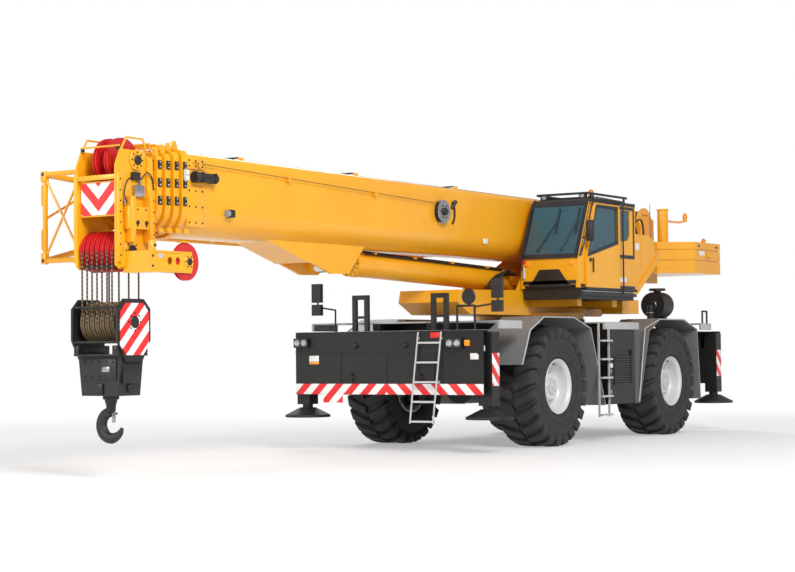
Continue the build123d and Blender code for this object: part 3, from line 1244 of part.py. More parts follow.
def auxiliary_nose():
    """The folded single-line nose arm with its sheave."""
    y0 = HEAD_PLATE_Y + HEAD_PLATE
    arm_y = NOSE_SHEAVE_Y + SHEAVE_THICKNESS / 2 + 12
    z0 = NOSE_SHEAVE_Z - 140
    z1 = NOSE_SHEAVE_Z + 120
    root = block(HEAD_REAR_X + 60, HEAD_FRONT_X - 60, y0, y0 + 40, HEAD_BOTTOM_Z + 20, z1)
    outer = plate_xz([(HEAD_REAR_X + 120, z0), (HEAD_FRONT_X - 120, z0), (HEAD_FRONT_X - 120, z1),
                      (NOSE_SHEAVE_X - 60, z1), (NOSE_SHEAVE_X - 90, NOSE_SHEAVE_Z), (NOSE_SHEAVE_X - 60, z0)],
                     arm_y, arm_y + 20)
    for x in (8420.0, 8280.0, 8130.0):
        outer -= rod_y(arm_y, arm_y + 20, x, NOSE_SHEAVE_Z, 48)
    inner = plate_xz([(HEAD_REAR_X + 120, z0), (HEAD_FRONT_X - 120, z0), (HEAD_FRONT_X - 120, z1),
                      (NOSE_SHEAVE_X - 60, z1), (NOSE_SHEAVE_X - 90, NOSE_SHEAVE_Z), (NOSE_SHEAVE_X - 60, z0)],
                     arm_y - SHEAVE_THICKNESS - 44, arm_y - SHEAVE_THICKNESS - 24)
    link = block(HEAD_FRONT_X - 320, HEAD_FRONT_X - 120, y0, arm_y + 20, z0, z1)
    pin = rod_y(arm_y - SHEAVE_THICKNESS - 44, arm_y + 20, NOSE_SHEAVE_X, NOSE_SHEAVE_Z, SHEAVE_PIN_RADIUS)
    return joined(root, outer, inner, link, pin)


def jib():
    """The lattice jib stowed along the boom's right side, on brackets."""
    root = [(-JIB_INNER_Y, JIB_ROOT_BOTTOM_Z), (-JIB_INNER_Y, JIB_ROOT_TOP_Z),
            (-JIB_OUTER_Y, JIB_ROOT_TOP_Z), (-JIB_OUTER_Y, JIB_ROOT_BOTTOM_Z)]
    body = [(-JIB_INNER_Y, JIB_BODY_BOTTOM_Z), (-JIB_INNER_Y, JIB_BODY_TOP_Z),
            (-JIB_BODY_OUTER_Y, JIB_BODY_TOP_Z), (-JIB_BODY_OUTER_Y, JIB_BODY_BOTTOM_Z)]
    pieces = []
    knuckle = JIB_CHORD_RADIUS * 1.15
    for (ry, rz), (by, bz) in zip(root, body):
        pieces.append(bar((JIB_ROOT_X, ry, rz), (JIB_TAPER_X, by, bz), JIB_CHORD_RADIUS))
        pieces.append(bar((JIB_TAPER_X, by, bz), (JIB_REAR_X, by, bz), JIB_CHORD_RADIUS))
        pieces.append(Pos(JIB_TAPER_X, by, bz) * Sphere(knuckle))
        pieces.append(Pos(JIB_ROOT_X, ry, rz) * Sphere(knuckle))
    for index in range(4):
        a = root[index]
        b = root[(index + 1) % 4]
        pieces.append(bar((JIB_ROOT_X, *a), (JIB_ROOT_X, *b), JIB_CHORD_RADIUS * 0.8))
    bay = (JIB_TAPER_X - JIB_REAR_X) / JIB_BAYS
    for face in range(4):
        a = body[face]
        b = body[(face + 1) % 4]
        for index in range(JIB_BAYS):
            x0 = JIB_REAR_X + index * bay + JIB_NODE_GAP
            x1 = JIB_REAR_X + (index + 1) * bay - JIB_NODE_GAP
            start, end = (a, b) if index % 2 == 0 else (b, a)
            pieces.append(bar((x0, *start), (x1, *end), JIB_LACING_RADIUS))
        for x in (JIB_REAR_X + 25, JIB_TAPER_X):
            pieces.append(bar((x, *a), (x, *b), JIB_LACING_RADIUS))
    side = BOOM_WIDTH / 2
    for x in (1000.0, 5900.0):
        pieces.append(block(x - 50, x + 50, -JIB_INNER_Y, -side, JIB_BODY_BOTTOM_Z + 250, JIB_BODY_BOTTOM_Z + 330))
        pieces.append(block(x - 50, x + 50, -JIB_INNER_Y - 30, -JIB_INNER_Y + 30, JIB_BODY_BOTTOM_Z, JIB_BODY_TOP_Z))
    return joined(pieces)


# Lift cylinder

def lift_frame():
    """The lift cylinder's own axes: foot at the origin, rod along X."""
    return Pos(LIFT_FOOT_X, 0, LIFT_FOOT_Z) * Rot(0, -LIFT_SLOPE, 0)


def lift_barrel():
    """The barrel with its foot eye and gland."""
    end = LIFT_LENGTH - LIFT_EXPOSED_ROD - LIFT_EYE_RADIUS
    tube = rod_x(LIFT_FOOT_RADIUS * 0.8, end, 0, 0, LIFT_BARREL_RADIUS)
    gland = rod_x(end - LIFT_GLAND_LENGTH, end, 0, 0, LIFT_BARREL_RADIUS + 10)
    eye = rod_y(-LIFT_EYE_HALF_WIDTH, LIFT_EYE_HALF_WIDTH, 0, 0, LIFT_FOOT_RADIUS)
    bore = rod_x(LIFT_FOOT_RADIUS + 80, end, 0, 0, LIFT_BARREL_RADIUS - LIFT_BARREL_WALL)
    seal = rod_x(end - LIFT_GLAND_LENGTH, end, 0, 0, LIFT_BARREL_RADIUS - 10) - rod_x(
        end - LIFT_GLAND_LENGTH, end, 0, 0, LIFT_ROD_RADIUS + PIN_FIT)
    body = joined(joined(tube, gland, eye) - bore, seal)
    body -= rod_y(-LIFT_EYE_HALF_WIDTH, LIFT_EYE_HALF_WIDTH, 0, 0, LIFT_PIN_RADIUS + PIN_FIT)
    return lift_frame() * body


def lift_rod():
    """The rod with its eye at the boom."""
    start = LIFT_FOOT_RADIUS + 120
    rod = rod_x(start, LIFT_LENGTH - LIFT_EYE_RADIUS / 2, 0, 0, LIFT_ROD_RADIUS)
    piston = rod_x(start, start + 160, 0, 0, LIFT_BARREL_RADIUS - LIFT_BARREL_WALL - PIN_FIT)
    eye = rod_y(-LIFT_EYE_HALF_WIDTH, LIFT_EYE_HALF_WIDTH, LIFT_LENGTH, 0, LIFT_EYE_RADIUS)
    return lift_frame() * joined(rod, piston, eye)


# Hook block

def rope_falls():
    """The straight rope falls from the head sheaves to the block sheaves."""
    falls = []
    for index, y in enumerate(lower_sheave_rows()):
        for side in (1, -1):
            if side < 0 and index % 2:
                continue
            x = LOWER_SHEAVE_X + side * (LOWER_SHEAVE_RADIUS - SHEAVE_GROOVE + ROPE_FIT + ROPE_RADIUS)
            falls.append(rod_z(BLOCK_SHEAVE_Z, LOWER_SHEAVE_Z, x, y, ROPE_RADIUS))
    return falls


def hook_block():
    """The block's cheeks, sheave pack and cross head."""
    x = LOWER_SHEAVE_X
    cheeks = []
    for side in (1, -1):
        y0 = side * (BLOCK_HALF_WIDTH - BLOCK_CHEEK)
        y1 = side * BLOCK_HALF_WIDTH
        cheeks.append(plate_xz([
            (x - BLOCK_CHEEK_HALF_LENGTH, BLOCK_TOP_Z - 120), (x - BLOCK_CHEEK_HALF_LENGTH + 120, BLOCK_TOP_Z),
            (x + BLOCK_CHEEK_HALF_LENGTH - 120, BLOCK_TOP_Z), (x + BLOCK_CHEEK_HALF_LENGTH, BLOCK_TOP_Z - 120),
            (x + BLOCK_CHEEK_HALF_LENGTH, BLOCK_CHEEK_BOTTOM_Z + 260),
            (x + 150, BLOCK_CHEEK_BOTTOM_Z), (x - 150, BLOCK_CHEEK_BOTTOM_Z),
            (x - BLOCK_CHEEK_HALF_LENGTH, BLOCK_CHEEK_BOTTOM_Z + 260),
        ], min(y0, y1), max(y0, y1)))
    pin = rod_y(-BLOCK_HALF_WIDTH, BLOCK_HALF_WIDTH, x, BLOCK_SHEAVE_Z, SHEAVE_PIN_RADIUS)
    low = plate_yz([
        (-BLOCK_HALF_WIDTH + BLOCK_CHEEK, BLOCK_LOW_TOP_Z), (BLOCK_HALF_WIDTH - BLOCK_CHEEK, BLOCK_LOW_TOP_Z),
        (BLOCK_LOW_HALF_WIDTH, BLOCK_LOW_BOTTOM_Z), (-BLOCK_LOW_HALF_WIDTH, BLOCK_LOW_BOTTOM_Z),
    ], x - BLOCK_LOW_HALF_LENGTH, x + BLOCK_LOW_HALF_LENGTH)
    bore = rod_z(BLOCK_LOW_BOTTOM_Z, BLOCK_LOW_BOTTOM_Z + HOOK_SHANK_DEPTH, x, 0, HOOK_SHANK_RADIUS + PIN_FIT)
    return joined(cheeks, pin, low - bore)


def block_sheaves():
    """The sheaves in the hook block."""
    return [sheave(LOWER_SHEAVE_X, y, BLOCK_SHEAVE_Z, LOWER_SHEAVE_RADIUS, SHEAVE_THICKNESS)
            for y in lower_sheave_rows()]


def hook():
    """A single hook with its shank, bent from a thick round bar."""
    x = LOWER_SHEAVE_X
    y = 0.0
    centre = HOOK_CENTRE_Z
    shank = rod_z(centre + HOOK_BOWL_RADIUS, BLOCK_LOW_BOTTOM_Z + HOOK_SHANK_DEPTH - HOOK_END_GAP, x, y,
                  HOOK_SHANK_RADIUS)
    collar = rod_z(BLOCK_LOW_BOTTOM_Z - HOOK_COLLAR - PIN_FIT, BLOCK_LOW_BOTTOM_Z - PIN_FIT, x, y,
                   HOOK_SHANK_RADIUS + 38)
    arc = CenterArc((0, 0), HOOK_BOWL_RADIUS, 90, 255)
    plane = Plane(origin=(x, y, centre), x_dir=(0, 1, 0), z_dir=(1, 0, 0))
    path = plane * arc
    start = Plane(origin=path @ 0, z_dir=path % 0)
    bowl = sweep(start * Circle(HOOK_THICKNESS), path=path)
    return joined(shank, collar, bowl)


def save(name, *shapes):
    """Write one node from its solids, in the model's own frame."""
    solids = []
    for shape in shapes:
        for item in (shape if isinstance(shape, (list, tuple)) else [shape]):
            solids.extend(item.solids())
    node = Compound(solids).moved(Location((-CENTRE_X, 0, 0)))
    export_step(node, f"parts/{name}.step")


def main():
    """Build every node of the crane."""
    os.makedirs("parts", exist_ok=True)

    save("chassis_frame", chassis_frame())
    save("outrigger_boxes", outrigger_box(BOX_FRONT_X, 1), outrigger_box(BOX_REAR_X, -1))
    save("deck", deck())
    save("fenders", fenders())
    save("side_lockers", both_sides(locker()))
    save("ladders", both_sides(side_steps()), front_ladder())
    save("rails_and_mirrors", deck_rails(), mirrors())
    save("lamps", lamps())
    save("powertrain", engine(), driveline())
    save("air_cleaner", air_cleaner())
    save("axles", axle(), Pos(-WHEELBASE, 0, 0) * axle())

    front_tyre = tyre()
    front_rim = rim()
    front_knuckle = knuckle()
    for corner, (axle_x, side) in CORNERS.items():
        save(f"tyre_{corner}", at_corner(front_tyre, axle_x, side))
        save(f"rim_{corner}", at_corner(front_rim, axle_x, side))
        save(f"knuckle_{corner}", at_corner(front_knuckle, axle_x, side))
        centre = BOX_FRONT_X if axle_x == 0.0 else BOX_REAR_X
        save(f"outrigger_beam_{corner}", place_outrigger(outrigger_beam(), centre, side))
        save(f"jack_{corner}", place_outrigger(jack(), centre, side))

    save("turntable", turntable())
    save("counterweight", counterweight())
    save("winches", winches())
    save("tail_unit", tail_unit(), tail_posts())
    left, right, front, rear = cab_walls()
    save("cab_base", cab_base())
    save("cab_walls", left, right, front, rear)
    save("cab_roof", cab_roof(), cab_guard())
    save("cab_glass", cab_glass())
    save("cab_interior", cab_interior())
    save("cab_door", cab_door())
    save("door_glass", door_glass())

    save("boom_base", boom_base())
    for level in (1, 2, 3):
        save(f"boom_section_{level + 1}", boom_section(level))
    save("boom_head", boom_head())
    save("head_sheaves", head_sheaves())
    save("warning_board", warning_board())
    save("auxiliary_nose", auxiliary_nose())
    save("jib", jib())
    save("lift_barrel", lift_barrel())
    save("lift_rod", lift_rod())
    save("hook_block", hook_block())
    save("block_sheaves", block_sheaves())
    save("hook", hook())
    save("rope_falls", rope_falls())


if __name__ == "__main__":
    main()
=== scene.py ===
"""Dresses the rough-terrain crane: finishes, tyre tread, ropes, bolts, glass, lamps, signs and cab trim.

Every length is in metres. Places along the machine are given from the front axle, as a maker
would measure them, and `at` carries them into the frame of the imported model.
"""

import logging
import math
from dataclasses import dataclass, field
from enum import Enum
from typing import Iterable, Optional, Sequence

import bpy
import numpy as np
from mathutils import Matrix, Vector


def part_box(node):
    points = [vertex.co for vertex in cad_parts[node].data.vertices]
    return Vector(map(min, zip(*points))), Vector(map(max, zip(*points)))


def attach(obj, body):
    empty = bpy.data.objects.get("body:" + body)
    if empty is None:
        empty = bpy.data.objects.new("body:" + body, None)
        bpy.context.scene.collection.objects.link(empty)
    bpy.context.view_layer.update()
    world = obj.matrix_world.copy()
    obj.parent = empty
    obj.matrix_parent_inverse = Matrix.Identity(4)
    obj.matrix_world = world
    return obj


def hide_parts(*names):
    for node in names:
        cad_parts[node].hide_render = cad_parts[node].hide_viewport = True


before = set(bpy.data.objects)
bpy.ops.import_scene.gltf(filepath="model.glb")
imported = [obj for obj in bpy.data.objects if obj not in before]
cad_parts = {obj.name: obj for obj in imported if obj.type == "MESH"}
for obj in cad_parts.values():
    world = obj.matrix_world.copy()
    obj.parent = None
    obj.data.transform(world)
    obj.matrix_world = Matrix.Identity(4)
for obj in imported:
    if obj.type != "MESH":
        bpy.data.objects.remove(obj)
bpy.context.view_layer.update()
LOG = logging.getLogger("crane")

AXLE_SHIFT = -1.005
WHEELBASE = 4.2
WHEEL_Y = 1.357
TYRE_RADIUS = 0.935
ROPE_RADIUS = 0.011
CORNERS = {
    "front_left": (0.0, 1.0), "front_right": (0.0, -1.0),
    "rear_left": (-WHEELBASE, 1.0), "rear_right": (-WHEELBASE, -1.0),
}


def at(x: float, y: float, z: float) -> np.ndarray:
    """Carries a place measured from the front axle on the ground into the model's frame."""
    return np.array([x + AXLE_SHIFT, y, z])


class Side(Enum):
    """The two hands of the machine, seen by its driver."""

    LEFT = 1
    RIGHT = -1


class StripePattern(Enum):
    """How red and white hazard stripes run over a plate."""

    PEAK_UP = "peak up"
    PEAK_DOWN = "peak down"
    RISING_FORWARD = "rising forward"
    FALLING_FORWARD = "falling forward"


# Materials

class Graph:
    """A thin helper that adds nodes to one material and links them."""

    def __init__(self, name: str) -> None:
        """Makes an empty material with a principled shader and its output.

        Args:
            name: The material's name.
        """
        self.material = bpy.data.materials.new(name)
        self.material.use_nodes = True
        self.tree = self.material.node_tree
        self.tree.nodes.clear()
        self.output = self.tree.nodes.new("ShaderNodeOutputMaterial")
        self.shader = self.tree.nodes.new("ShaderNodeBsdfPrincipled")
        self.link(self.shader.outputs["BSDF"], self.output.inputs["Surface"])
        self.coordinates = self.tree.nodes.new("ShaderNodeTexCoord").outputs["Object"]

    def link(self, source, target) -> None:
        """Joins an output to an input."""
        self.tree.links.new(source, target)

    def feed(self, socket, value) -> None:
        """Sets a socket to a number or links it to another socket.

        Args:
            socket: The input to set.
            value: A number, a colour or an output socket.
        """
        if isinstance(value, bpy.types.NodeSocket):
            self.link(value, socket)
        else:
            socket.default_value = value

    def math(self, kind: str, first, second=0.0, clamp: bool = False):
        """Adds a Math node.

        Args:
            kind: The operation's name.
            first: A number or socket.
            second: A number or socket.
            clamp: True to hold the result between 0 and 1.

        Returns:
            The node's output socket.
        """
        node = self.tree.nodes.new("ShaderNodeMath")
        node.operation = kind
        node.use_clamp = clamp
        self.feed(node.inputs[0], first)
        self.feed(node.inputs[1], second)
        return node.outputs[0]

    def mix(self, factor, first: Sequence[float], second: Sequence[float]):
        """Adds a colour mix.

        Args:
            factor: A number or socket from 0 to 1.
            first: The colour or socket at 0.
            second: The colour or socket at 1.

        Returns:
            The mixed colour's socket.
        """
        node = self.tree.nodes.new("ShaderNodeMix")
        node.data_type = "RGBA"
        self.feed(node.inputs["Factor"], factor)
        self.feed(node.inputs[6], first if isinstance(first, bpy.types.NodeSocket) else (*first, 1.0))
        self.feed(node.inputs[7], second if isinstance(second, bpy.types.NodeSocket) else (*second, 1.0))
        return node.outputs[2]

    def noise(self, scale: float, detail: float = 3.0, stretch: Sequence[float] = (1, 1, 1)):
        """Adds fractal noise on object coordinates.

        Args:
            scale: Features per metre.
            detail: Octaves.
            stretch: Scale along each axis.

        Returns:
            The noise value's socket.
        """
        mapping = self.tree.nodes.new("ShaderNodeMapping")
        mapping.inputs["Scale"].default_value = tuple(stretch)
        self.link(self.coordinates, mapping.inputs["Vector"])
        node = self.tree.nodes.new("ShaderNodeTexNoise")
        node.inputs["Scale"].default_value = scale
        node.inputs["Detail"].default_value = detail
        self.link(mapping.outputs["Vector"], node.inputs["Vector"])
        return node.outputs["Fac"]

    def axes(self):
        """Splits the object coordinates.

        Returns:
            The X, Y and Z sockets.
        """
        node = self.tree.nodes.new("ShaderNodeSeparateXYZ")
        self.link(self.coordinates, node.inputs[0])
        return node.outputs[0], node.outputs[1], node.outputs[2]

    def ramp(self, factor, low: float, high: float):
        """Maps a value so that low gives 0 and high gives 1, held between them.

        Args:
            factor: The value's socket.
            low: Where the ramp starts.
            high: Where it ends.

        Returns:
            The ramped value's socket.
        """
        node = self.tree.nodes.new("ShaderNodeMapRange")
        node.inputs["From Min"].default_value = low
        node.inputs["From Max"].default_value = high
        self.link(factor, node.inputs["Value"])
        return node.outputs["Result"]

    def bump(self, height, strength: float, distance: float) -> None:
        """Roughens the shader's normal by a height.

        Args:
            height: The height's socket.
            strength: How much of the bump shows.
            distance: The height of 1, in metres.
        """
        node = self.tree.nodes.new("ShaderNodeBump")
        node.inputs["Strength"].default_value = strength
        node.inputs["Distance"].default_value = distance
        self.link(height, node.inputs["Height"])
        self.link(node.outputs["Normal"], self.shader.inputs["Normal"])


@dataclass(frozen=True)
class PaintFinish:
    """Sprayed enamel with a faint orange peel, cloudy tone and dust near the ground."""

    name: str
    colour: tuple[float, float, float]
    shade: tuple[float, float, float]
    gloss: float = 0.34
    coat: float = 0.35
    peel: float = 0.06
    metallic: float = 0.0
    dust: float = 0.0

    def build(self) -> bpy.types.Material:
        """Makes the material: large soft noise mixes two tones, fine noise bumps the coat.

        Returns:
            The new material.
        """
        graph = Graph(self.name)
        cloud = graph.ramp(graph.noise(1.3, 4.0), 0.35, 0.7)
        colour = graph.mix(graph.math("MULTIPLY", cloud, 0.55), self.colour, self.shade)
        if self.dust > 0.0:
            height = graph.axes()[2]
            low = graph.math("SUBTRACT", 1.0, graph.ramp(height, 0.3, 1.5))
            patch = graph.math("MULTIPLY", low, graph.ramp(graph.noise(9.0, 6.0), 0.4, 0.75))
            colour = graph.mix(graph.math("MULTIPLY", patch, self.dust), colour, (0.36, 0.31, 0.25))
        graph.feed(graph.shader.inputs["Base Color"], colour)
        rough = graph.math("MULTIPLY_ADD", graph.noise(6.0, 5.0), 0.14)
        rough.node.inputs[2].default_value = self.gloss - 0.07
        graph.feed(graph.shader.inputs["Roughness"], rough)
        graph.shader.inputs["Metallic"].default_value = self.metallic
        graph.shader.inputs["Coat Weight"].default_value = self.coat
        graph.shader.inputs["Coat Roughness"].default_value = 0.12
        graph.bump(graph.noise(140.0, 2.0), self.peel, 0.002)
        return graph.material


@dataclass(frozen=True)
class StripeFinish:
    """Retro-reflective red and white hazard stripes."""

    name: str
    pattern: StripePattern
    pitch: float
    phase: float = 0.0
    red: tuple[float, float, float] = (0.78, 0.012, 0.015)
    white: tuple[float, float, float] = (0.86, 0.86, 0.84)

    def build(self) -> bpy.types.Material:
        """Makes the material: the fraction of (height + way across) / pitch picks red or white.

        Returns:
            The new material.
        """
        graph = Graph(self.name)
        x, y, z = graph.axes()
        across = {
            StripePattern.PEAK_UP: lambda: graph.math("ABSOLUTE", y),
            StripePattern.PEAK_DOWN: lambda: graph.math("MULTIPLY", graph.math("ABSOLUTE", y), -1.0),
            StripePattern.RISING_FORWARD: lambda: graph.math("MULTIPLY", x, -1.0),
            StripePattern.FALLING_FORWARD: lambda: graph.math("MULTIPLY", x, 1.0),
        }[self.pattern]()
        place = graph.math("MULTIPLY", graph.math("ADD", z, across), 1.0 / self.pitch)
        turn = graph.math("FRACT", graph.math("ADD", place, self.phase + 50.0))
        stripe = graph.math("LESS_THAN", turn, 0.5)
        grime = graph.ramp(graph.noise(30.0, 5.0), 0.3, 0.8)
        colour = graph.mix(stripe, self.white, self.red)
        graph.feed(graph.shader.inputs["Base Color"], graph.mix(
            graph.math("MULTIPLY", grime, 0.08), colour, (0.3, 0.28, 0.25)))
        graph.shader.inputs["Roughness"].default_value = 0.38
        cell = graph.tree.nodes.new("ShaderNodeTexVoronoi")
        cell.inputs["Scale"].default_value = 260.0
        graph.link(graph.coordinates, cell.inputs["Vector"])
        graph.bump(cell.outputs["Distance"], 0.12, 0.001)
        return graph.material


@dataclass(frozen=True)
class RubberFinish:
    """Black rubber, greyed by dust in the hollows of a fine grain."""

    name: str
    colour: tuple[float, float, float] = (0.022, 0.021, 0.020)
    dusty: tuple[float, float, float] = (0.040, 0.038, 0.034)
    roughness: float = 0.72

    def build(self) -> bpy.types.Material:
        """Makes the material: two noises set the dust and the grain.

        Returns:
            The new material.
        """
        graph = Graph(self.name)
        dust = graph.ramp(graph.noise(7.0, 8.0), 0.38, 0.72)
        graph.feed(graph.shader.inputs["Base Color"], graph.mix(dust, self.colour, self.dusty))
        rough = graph.math("MULTIPLY_ADD", dust, 0.12)
        rough.node.inputs[2].default_value = self.roughness - 0.06
        graph.feed(graph.shader.inputs["Roughness"], rough)
        graph.bump(graph.noise(90.0, 6.0), 0.35, 0.003)
        return graph.material


@dataclass(frozen=True)
class MetalFinish:
    """Bare or plated metal with brushed or cast grain."""

    name: str
    colour: tuple[float, float, float]
    roughness: float = 0.35
    grain: float = 60.0
    bump: float = 0.1
    metallic: float = 1.0

    def build(self) -> bpy.types.Material:
        """Makes the material: stretched noise varies the roughness and the height.

        Returns:
            The new material.
        """
        graph = Graph(self.name)
        streak = graph.noise(self.grain, 4.0, (1.0, 1.0, 0.25))
        darker = tuple(0.72 * part for part in self.colour)
        graph.feed(graph.shader.inputs["Base Color"], graph.mix(
            graph.ramp(graph.noise(5.0, 6.0), 0.35, 0.75), self.colour, darker))
        rough = graph.math("MULTIPLY_ADD", streak, 0.2)
        rough.node.inputs[2].default_value = self.roughness - 0.1
        graph.feed(graph.shader.inputs["Roughness"], rough)
        graph.shader.inputs["Metallic"].default_value = self.metallic
        graph.bump(streak, self.bump, 0.002)
        return graph.material


@dataclass(frozen=True)
class PlasticFinish:
    """Moulded plastic with a fine leather-like texture."""

    name: str
    colour: tuple[float, float, float]
    roughness: float = 0.45
    bump: float = 0.12

    def build(self) -> bpy.types.Material:
        """Makes the material: a voronoi grain bumps it and slow noise shades it.

        Returns:
            The new material.
        """
        graph = Graph(self.name)
        lighter = tuple(min(1.0, 1.35 * part + 0.004) for part in self.colour)
        graph.feed(graph.shader.inputs["Base Color"], graph.mix(
            graph.ramp(graph.noise(11.0, 5.0), 0.4, 0.8), self.colour, lighter))
        graph.shader.inputs["Roughness"].default_value = self.roughness
        cell = graph.tree.nodes.new("ShaderNodeTexVoronoi")
        cell.inputs["Scale"].default_value = 420.0
        graph.link(graph.coordinates, cell.inputs["Vector"])
        graph.bump(cell.outputs["Distance"], self.bump, 0.0008)
        return graph.material


@dataclass(frozen=True)
class GlassFinish:
    """Tinted safety glass or a lamp lens."""

    name: str
    colour: tuple[float, float, float]
    transmission: float = 0.8
    roughness: float = 0.03

    def build(self) -> bpy.types.Material:
        """Makes the material: a tinted dielectric with a faint smear in its roughness.

        Returns:
            The new material.
        """
        graph = Graph(self.name)
        smear = graph.math("MULTIPLY_ADD", graph.ramp(graph.noise(4.0, 6.0), 0.45, 0.8), 0.05)
        smear.node.inputs[2].default_value = self.roughness
        graph.feed(graph.shader.inputs["Roughness"], smear)
        graph.shader.inputs["Base Color"].default_value = (*self.colour, 1.0)
        graph.shader.inputs["Transmission Weight"].default_value = self.transmission
        graph.shader.inputs["IOR"].default_value = 1.45
        return graph.material


@dataclass(frozen=True)
class RopeFinish:
    """Greased wire rope with its strands laid at an angle."""

    name: str
    colour: tuple[float, float, float] = (0.23, 0.16, 0.10)
    groove: tuple[float, float, float] = (0.035, 0.026, 0.018)

    def build(self) -> bpy.types.Material:
        """Makes the material: bands of (height + way round) show the strands.

        Returns:
            The new material.
        """
        graph = Graph(self.name)
        wave = graph.tree.nodes.new("ShaderNodeTexWave")
        wave.bands_direction = "DIAGONAL"
        wave.inputs["Scale"].default_value = 12.0
        graph.link(graph.coordinates, wave.inputs["Vector"])
        graph.feed(graph.shader.inputs["Base Color"], graph.mix(
            wave.outputs["Fac"], self.groove, self.colour))
        graph.shader.inputs["Roughness"].default_value = 0.42
        graph.shader.inputs["Metallic"].default_value = 0.6
        graph.bump(wave.outputs["Fac"], 0.6, 0.004)
        return graph.material


@dataclass(frozen=True)
class TreadPlateFinish:
    """Aluminium chequer plate: raised bars that turn a quarter from cell to cell."""

    name: str
    colour: tuple[float, float, float] = (0.50, 0.51, 0.52)
    pitch: float = 0.06

    def build(self) -> bpy.types.Material:
        """Makes the material: sine products of X and Y raise the bars of the plate.

        Returns:
            The new material.
        """
        graph = Graph(self.name)
        x, y, _ = graph.axes()
        turn = 2.0 * math.pi / self.pitch
        bars = graph.math("MULTIPLY", graph.math("SINE", graph.math("MULTIPLY", graph.math("ADD", x, y), turn)),
                          graph.math("SINE", graph.math("MULTIPLY", graph.math("SUBTRACT", x, y), turn)))
        raised = graph.ramp(bars, 0.25, 0.5)
        tone = graph.ramp(graph.noise(3.0, 6.0), 0.35, 0.7)
        colour = graph.mix(tone, self.colour, tuple(0.7 * part for part in self.colour))
        graph.feed(graph.shader.inputs["Base Color"], colour)
        graph.shader.inputs["Metallic"].default_value = 0.35
        graph.shader.inputs["Roughness"].default_value = 0.46
        graph.bump(raised, 0.7, 0.003)
        return graph.material


@dataclass(frozen=True)
class FabricFinish:
    """Woven seat cloth."""

    name: str
    colour: tuple[float, float, float]
    thread: float = 420.0

    def build(self) -> bpy.types.Material:
        """Makes the material: two crossed sine waves weave over and under.

        Returns:
            The new material.
        """
        graph = Graph(self.name)
        x, y, z = graph.axes()
        warp = graph.math("SINE", graph.math("MULTIPLY", graph.math("ADD", x, z), self.thread))
        weft = graph.math("SINE", graph.math("MULTIPLY", graph.math("ADD", y, z), self.thread))
        weave = graph.math("MULTIPLY", warp, weft)
        lighter = tuple(min(1.0, 1.8 * part + 0.01) for part in self.colour)
        graph.feed(graph.shader.inputs["Base Color"], graph.mix(
            graph.ramp(weave, -1.0, 1.0), self.colour, lighter))
        graph.shader.inputs["Roughness"].default_value = 0.85
        graph.shader.inputs["Sheen Weight"].default_value = 0.3
        graph.bump(weave, 0.4, 0.0008)
        return graph.material


@dataclass(frozen=True)
class FloorFinish:
    """The studio floor: pale, white where the camera sees it lit, and it keeps its shadow."""

    name: str = "studio_floor"
    colour: tuple[float, float, float] = (0.86, 0.86, 0.86)
    near: float = 9.0
    far: float = 17.0
    haze: float = 0.35

    def build(self) -> bpy.types.Material:
        """Makes the plain floor material.

        Returns:
            The new material.
        """
        graph = Graph(self.name)
        graph.shader.inputs["Base Color"].default_value = (*self.colour, 1.0)
        graph.shader.inputs["Roughness"].default_value = 0.9
        graph.shader.inputs["Specular IOR Level"].default_value = 0.1
        x, y, _ = graph.axes()
        spread = graph.math("SQRT", graph.math("ADD", graph.math("MULTIPLY", x, x), graph.math("MULTIPLY", y, y)))
        glow = graph.tree.nodes.new("ShaderNodeEmission")
        glow.inputs["Color"].default_value = (1.0, 1.0, 1.0, 1.0)
        mixer = graph.tree.nodes.new("ShaderNodeMixShader")
        path = graph.tree.nodes.new("ShaderNodeLightPath")
        seen = graph.math("MAXIMUM", graph.math("MAXIMUM", path.outputs["Is Camera Ray"], path.outputs["Is Glossy Ray"]),
                          path.outputs["Is Transmission Ray"])
        blend = graph.math("MAXIMUM", graph.math("MULTIPLY", graph.ramp(spread, self.near, self.far), seen),
                           graph.math("MULTIPLY", seen, self.haze))
        graph.link(blend, mixer.inputs[0])
        graph.link(graph.shader.outputs["BSDF"], mixer.inputs[1])
        graph.link(glow.outputs[0], mixer.inputs[2])
        graph.link(mixer.outputs[0], graph.output.inputs["Surface"])
        return graph.material


